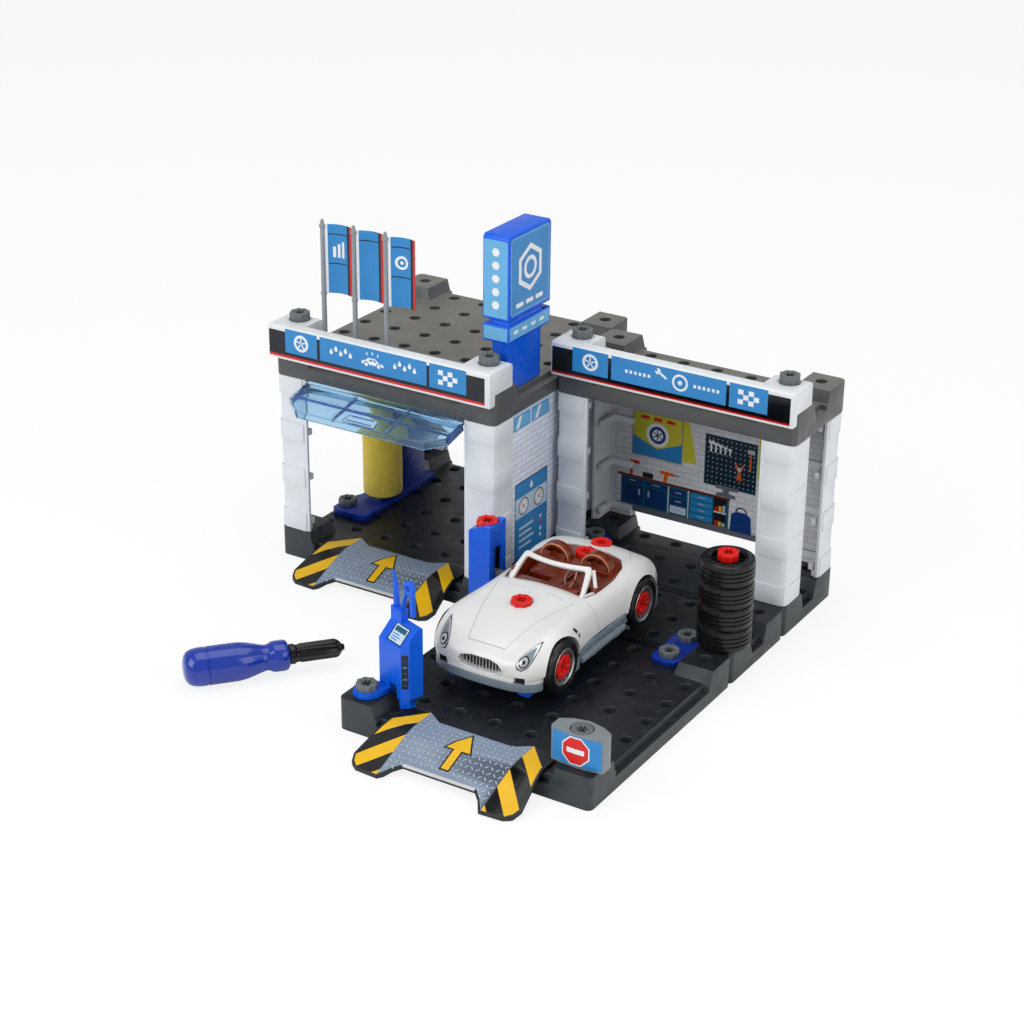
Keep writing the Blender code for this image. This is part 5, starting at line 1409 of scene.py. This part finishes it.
carriage = moulded("lift_carriage", "grey", "lift_carriage", 0.7, 3, None, 40.0)
carriage.data.materials.append(finishes["blue"])
for polygon in carriage.data.polygons:
    # the fork that reaches under the car is blue, the slide in the column grey
    if (toPlan @ polygon.center).x > 24.0:
        polygon.material_index = 1
bm = bmesh.new()
for x in (43.1, 2 * 74.5 - 43.1 - 8.2):
    for y in (84.0, 164.0):
        block(bm, x + 2.4, x + 5.8, y + 0.4, y + 7.6, 32.0, 34.95)
soften(bm, 0.3, 2)
finish("fork_pads", bm, "tyre", "lift_carriage")
print("lift built")


# Under the car: pan, sills, pipes and bumper lips.
cx = carForm["middle"]
tools = bmesh.new()
nose = mirrored([(60.0, 50.0), (60.0, 86.0), (30.3, 86.0), (30.3, 81.0)])
slab(tools, [(cx + a, b) for a, b in nose], 10.0, 40.0)
bothSides(tools, 38.0, 50.0, 124.5, 183.5, 15.0, 29.9)
moulded("car_chassis", "sill", "car", 0.4, 2, moved(tools), 30.0)
bm = bmesh.new()
for sign in (-1, 1):
    line = [(41.4, 122.6), (44.0, 123.4), (44.4, 130.0), (43.2, 150.0), (44.4, 180.0), (44.0, 186.4),
            (41.4, 187.0)]
    slab(bm, [(cx + sign * a, b) for a, b in line], 30.2, 35.6)
soften(bm, 0.9, 3, 40)
finish("car_sills", moved(bm), "sill", "car")
bm = bmesh.new()
for sign in (-1, 1):
    x = cx + sign * (44.4 - 1.6)
    stacked(bm, [(2.0, 124.6), (2.9, 125.4), (3.25, 127.0), (3.25, 180.6), (2.9, 182.6), (2.2, 183.4),
                 (1.9, 183.4), (1.9, 181.0)], (x, 0, 26.6), "y", 28)
    for y in (138.0, 170.0):
        stacked(bm, [(3.5, y), (3.7, y + 0.4), (3.7, y + 3.2), (3.5, y + 3.6)], (x, 0, 26.6), "y", 28)
finish("car_pipes", moved(bm), "sill", "car")
lip = [(-33.0, 70.4), (-24.0, 67.6), (-10.0, 66.4), (10.0, 66.4), (24.0, 67.6), (33.0, 70.4), (38.6, 74.6),
       (40.8, 78.4), (41.0, 81.4), (-41.0, 81.4), (-40.8, 78.4), (-38.6, 74.6)]
for name, paintName, low, high, inset in (("car_bumper", "pearl", 29.4, 32.0, 0.6),
                                          ("car_splitter", "sill", 23.4, 29.8, 0.2)):
    bm = bmesh.new()
    slab(bm, [(cx + a * (1 - inset / 50), b + inset) for a, b in lip], low, high)
    if name == "car_bumper":
        tools = bmesh.new()
        bothSides(tools, 25.4, 32.4, 60.0, 73.0, 28.0, 34.0)
        bm = carve(bm, tools)
    soften(bm, 0.8, 3, 40)
    finish(name, moved(bm), paintName, "car")
bm = bmesh.new()
bothSides(bm, 25.0, 32.8, 70.9, 72.6, 29.2, 33.9)
finish("car_intakes", moved(bm), "dark", "car")

# Ways on to the shell: where the ray for a point of an outline starts, and its direction.
waysIn = {
    "front": (lambda a, b: (a, 40.0, b), Vector((0, 1, 0))),
    "back": (lambda a, b: (a, 300.0, b), Vector((0, -1, 0))),
    "over": (lambda a, b: (a, b, 90.0), Vector((0, 0, -1))),
    "left": (lambda a, b: (cx - 70.0, a, b), Vector((1, 0, 0))),
    "right": (lambda a, b: (cx + 70.0, a, b), Vector((-1, 0, 0))),
}


# Lays a flat outline on the shell: every corner is dropped on to the body along the way in.
def onShell(points, way, rise):
    body = bpy.data.objects["car_body_shell"]
    start, aim = waysIn[way]
    laid = []
    for u, v in points:
        origin = toMetres @ (Vector(start(u, v)) + Vector(carShift))
        hit, place, normal, _ = body.ray_cast(origin, aim)
        if hit:
            laid.append((toPlan @ (place + normal * rise * 0.001)) - Vector(carShift))
    return laid


# Nose: bright bars in the grille, round lamps under almond covers, side vents.
grilleForm = {"half": 17.8, "middle": 37.2, "down": 5.0, "up": 4.6, "bars": 13, "first": -15.0, "step": 2.5,
              "thick": 0.34, "front": 72.2, "back": 74.6}
form = grilleForm
bm = bmesh.new()
block(bm, cx - form["half"], cx + form["half"], form["back"], form["back"] + 0.6, 31.6, 42.4, 1)
for k in range(form["bars"]):
    x = cx + form["first"] + form["step"] * k
    reach = math.sqrt(max(0.05, 1.0 - ((x - cx) / form["half"]) ** 2))
    block(bm, x - form["thick"], x + form["thick"], form["front"], form["back"],
          form["middle"] - form["down"] * reach, form["middle"] + form["up"] * reach)
finish("grille", moved(bm), ("rim", "dark"), "car")
bm = bmesh.new()
rim = resample([(a * 1.02, 37.0 + (b - 37.0) * 1.06) for a, b in grilleLine], 60)
rim = onShell([(cx + a, b) for a, b in rim], "front", 0.0)
tube(bm, [tuple(p) for p in rim], 0.62, closed=True, smooth=1)
finish("grille_rim", moved(bm), "pearl", "car")


# White cowl between the bonnet and the dashboard: it carries the bonnet's crown on to the windscreen.
cowlForm = {"half": 33.4, "front": 143.6, "deep": 8.4, "drop": 2.0}


def buildCowl():
    form = cowlForm
    bm = bmesh.new()
    bmesh.ops.create_grid(bm, x_segments=24, y_segments=6, size=1.0)
    for vert in bm.verts:
        u, share = vert.co.x * form["half"], (vert.co.y + 1) / 2
        hit = onShell([(cx + u, form["front"])], "over", 0.0)
        high = hit[0].z if hit else 59.0
        vert.co = (cx + u, form["front"] + form["deep"] * share, high - 0.06 - form["drop"] * share ** 2)
    grown = bmesh.ops.extrude_face_region(bm, geom=list(bm.faces))["geom"]
    bmesh.ops.translate(bm, verts=[v for v in grown if isinstance(v, bmesh.types.BMVert)], vec=(0, 0, -3.0))
    finish("cowl", moved(bm), "pearl", "car", sharp=40)


buildCowl()


def almond(sign, grow=0.0):
    line = [(26.6, 43.2), (27.8, 40.4), (30.8, 39.8), (33.8, 41.8), (35.4, 45.6), (36.0, 50.0), (35.4, 53.4),
            (33.0, 52.2), (30.0, 49.4), (27.6, 46.4)]
    middle = (31.6, 46.2)
    return [(cx + sign * (middle[0] + (a - middle[0]) * (1 + grow)), middle[1] + (b - middle[1]) * (1 + grow))
            for a, b in line]


# A thin patch that follows the shell inside an outline, in rings towards its middle.
patchForm = {"corners": 44, "shares": (1.0, 0.72, 0.44, 0.16), "thick": 0.4}


def patch(name, outline, way, paint, rise):
    count = patchForm["corners"]
    smoothLine = resample(outline, count)
    u, v = sum(p[0] for p in smoothLine) / count, sum(p[1] for p in smoothLine) / count
    bm = bmesh.new()
    rows = []
    for share in patchForm["shares"]:
        ring = [(u + (a - u) * share, v + (b - v) * share) for a, b in smoothLine]
        verts = [bm.verts.new(p) for p in onShell(ring, way, rise)]
        rows.append([bm.edges.new((a, b)) for a, b in zip(verts, verts[1:] + verts[:1])])
    for one, two in zip(rows, rows[1:]):
        bmesh.ops.bridge_loops(bm, edges=one + two)
    bmesh.ops.edgeloop_fill(bm, edges=rows[-1])
    grown = bmesh.ops.extrude_face_region(bm, geom=list(bm.faces))["geom"]
    outer = {v for v in grown if isinstance(v, bmesh.types.BMVert)}
    bmesh.ops.translate(bm, verts=[v for v in bm.verts if v not in outer],
                        vec=waysIn[way][1] * (rise + patchForm["thick"]))
    finish(name, moved(bm), paint, "car")


for sign, label in ((-1, "left"), (1, "right")):
    lamp, tail = (cx + sign * 30.8, 44.4), (cx + sign * 28.0, 48.0)
    for name, outline, way, paint, rise in (
            ("lamp_edge", almond(sign, 0.10), "front", "dark", 0.12),
            ("lamp_cover", almond(sign), "front", "rim", 0.3),
            ("lamp_bowl", almond(sign, -0.26), "front", "sill", 0.42),
            ("lamp_ring", disc(*lamp, 3.1, 24), "front", "dark", 0.6),
            ("lamp_lens", disc(*lamp, 2.4, 24), "front", "chrome", 0.8),
            ("lamp_bulb", disc(*lamp, 1.0, 16), "front", "dark", 1.0),
            ("vent_upper", [(115.6, 52.6), (119.0, 48.8), (120.8, 50.0), (117.4, 53.8)], label, "dark", 0.1),
            ("vent_lower", [(120.6, 47.6), (121.8, 44.6), (123.2, 45.2), (122.2, 48.2)], label, "dark", 0.1)):
        patch(name + "_" + label, outline, way, paint, rise)
    for k in range(3):
        middle, low = cx + sign * (9.5 + k * 5.0), 137.6 - 0.3 * k
        slit = [(middle - 1.9, low), (middle + 1.9, low), (middle + 1.9, 139.0 - 0.3 * k),
                (middle - 1.9, 139.0 - 0.3 * k)]
        patch("slit_%s_%d" % (label, k), slit, "over", "lip", 0.06)
    patch("tail_edge_" + label, disc(*tail, 4.2, 24), "back", "dark", 0.1)
    patch("tail_lamp_" + label, disc(*tail, 3.5, 24), "back", "red", 0.5)
print("car dressed")


# Screwdriver on the floor: grip, ring, ferrule and fluted shaft.
driver = {"x": -121.0, "y": -12.0, "z": 13.7, "turn": 49.4}


def laid(bm):
    turn = Matrix.Rotation(math.radians(driver["turn"]), 4, "Z")
    bm.transform(Matrix.Translation((driver["x"], driver["y"], driver["z"])) @ turn)
    return bm


bm = bmesh.new()
stacked(bm, [(0.8, -0.0), (5.6, 0.3), (8.8, 1.3), (11.2, 3.2), (12.6, 6.0), (13.3, 10.0), (13.4, 13.0),
             (13.4, 15.4), (12.9, 15.7), (12.9, 16.5), (13.4, 16.8), (13.4, 30.0), (13.3, 38.0), (12.6, 43.0),
             (11.2, 48.5), (9.7, 53.4), (8.9, 57.0), (9.2, 59.0), (10.4, 61.2), (10.8, 63.2), (10.8, 69.6),
             (10.2, 71.4), (9.0, 72.4), (4.5, 72.5), (4.5, 50.2)], axis="x", count=64)
for k in range(3):
    stacked(bm, [(1.5, 12.4), (1.4, 13.6), (0.9, 14.1), (0.3, 14.3)], (24.0 + k * 7.0, 0, 0), "z", 20)
finish("driver_grip", laid(bm), "handle", "screwdriver", "screwdriver_handle", 40)
bm = bmesh.new()
stacked(bm, [(4.0, 51.1), (4.0, 73.0), (6.6, 73.0), (7.1, 73.5), (7.1, 76.6, 0.25), (6.2, 77.6, 0.3),
             (5.8, 79.0, 0.35), (6.4, 81.8, 0.45), (6.4, 105.6, 0.45), (5.6, 107.6, 0.4), (4.2, 109.0, 0.3),
             (2.6, 110.4, 0.1), (2.0, 111.9)], axis="x", count=96)
finish("driver_shaft", laid(bm), "shaft", "screwdriver", "screwdriver_shaft", 30)
print("screwdriver built")


# Camera where the photograph was taken from (angles in radians, place in metres), soft light
# and a pale floor.
view = {"lens": 78.49, "azimuth": 0.5522, "height": 0.4329, "roll": 0.0096,
        "place": (0.76032, -1.21114, 0.74549)}


def setCamera():
    a, e, roll = view["azimuth"], view["height"], view["roll"]
    forward = Vector((-math.sin(a) * math.cos(e), math.cos(a) * math.cos(e), -math.sin(e)))
    right = forward.cross(Vector((0, 0, 1))).normalized()
    up = right.cross(forward)
    c, s = math.cos(roll), math.sin(roll)
    r2, u2 = right * c + up * s, up * c - right * s
    lens = bpy.data.cameras.new("camera")
    lens.lens, lens.sensor_width, lens.sensor_fit = view["lens"], 36.0, "HORIZONTAL"
    lens.clip_start, lens.clip_end = 0.05, 20.0
    item = linked("camera", lens)
    turned = Matrix((r2, u2, -forward)).transposed().to_4x4()
    turned.translation = Vector(view["place"])
    item.matrix_world = turned
    bpy.context.scene.camera = item


studio = {
    "sky": 0.50,
    "lamps": (
        {"name": "front", "place": (-0.55, -1.5, 1.15), "size": 1.3, "power": 17.0},
        {"name": "top", "place": (0.1, 0.1, 1.9), "size": 1.6, "power": 13.0},
        {"name": "side", "place": (1.7, -0.2, 0.8), "size": 1.2, "power": 8.5},
    ),
}


def setLight():
    world = bpy.data.worlds.new("studio")
    bpy.context.scene.world = world
    world.use_nodes = True
    tree = world.node_tree
    back = tree.nodes["Background"]
    path = tree.nodes.new("ShaderNodeLightPath")
    seen = tree.nodes.new("ShaderNodeMath")
    seen.operation = "MAXIMUM"
    tree.links.new(path.outputs["Is Camera Ray"], seen.inputs[0])
    tree.links.new(path.outputs["Is Transmission Ray"], seen.inputs[1])
    strength = tree.nodes.new("ShaderNodeMapRange")
    tree.links.new(seen.outputs[0], strength.inputs[0])
    strength.inputs[3].default_value = studio["sky"]
    strength.inputs[4].default_value = 1.0
    tree.links.new(strength.outputs[0], back.inputs["Strength"])
    back.inputs["Color"].default_value = (1.0, 1.0, 1.0, 1.0)
    for lamp in studio["lamps"]:
        light = bpy.data.lights.new(lamp["name"], "AREA")
        light.size, light.energy = lamp["size"], lamp["power"]
        item = linked(lamp["name"], light)
        item.location = lamp["place"]
        item.rotation_euler = (Vector((0.0, 0.0, 0.08)) - item.location).to_track_quat("-Z", "Y").to_euler()


def setFloor():
    bm = bmesh.new()
    bmesh.ops.create_grid(bm, x_segments=8, y_segments=8, size=6.0)
    mesh = meshOf("floor", bm)
    recipe = Recipe("floorPaper", 0.1)
    paper = dress(recipe, (0.93, 0.93, 0.93, 1.0), 0.8, 0.005, 0.02, 0.0, 0.03, 300.0)
    # The floor looks white to the camera and still takes the shadow.
    glow = recipe.add("ShaderNodeEmission")
    glow.inputs["Strength"].default_value = 1.0
    path = recipe.add("ShaderNodeLightPath")
    share = recipe.sums("MULTIPLY", recipe.sums("MAXIMUM", path.outputs["Is Camera Ray"],
                                                path.outputs["Is Transmission Ray"]), 0.84)
    both = recipe.add("ShaderNodeMixShader")
    recipe.plug(share, both.inputs[0])
    recipe.plug(recipe.shader.outputs[0], both.inputs[1])
    recipe.plug(glow.outputs[0], both.inputs[2])
    recipe.plug(both.outputs[0], recipe.tree.nodes["Material Output"].inputs["Surface"])
    mesh.materials.append(paper)
    item = linked("floor", mesh)
    item.location.z = -0.0004


setCamera()
setLight()
setFloor()
bpy.context.scene.view_settings.view_transform = "Standard"
print("studio set")
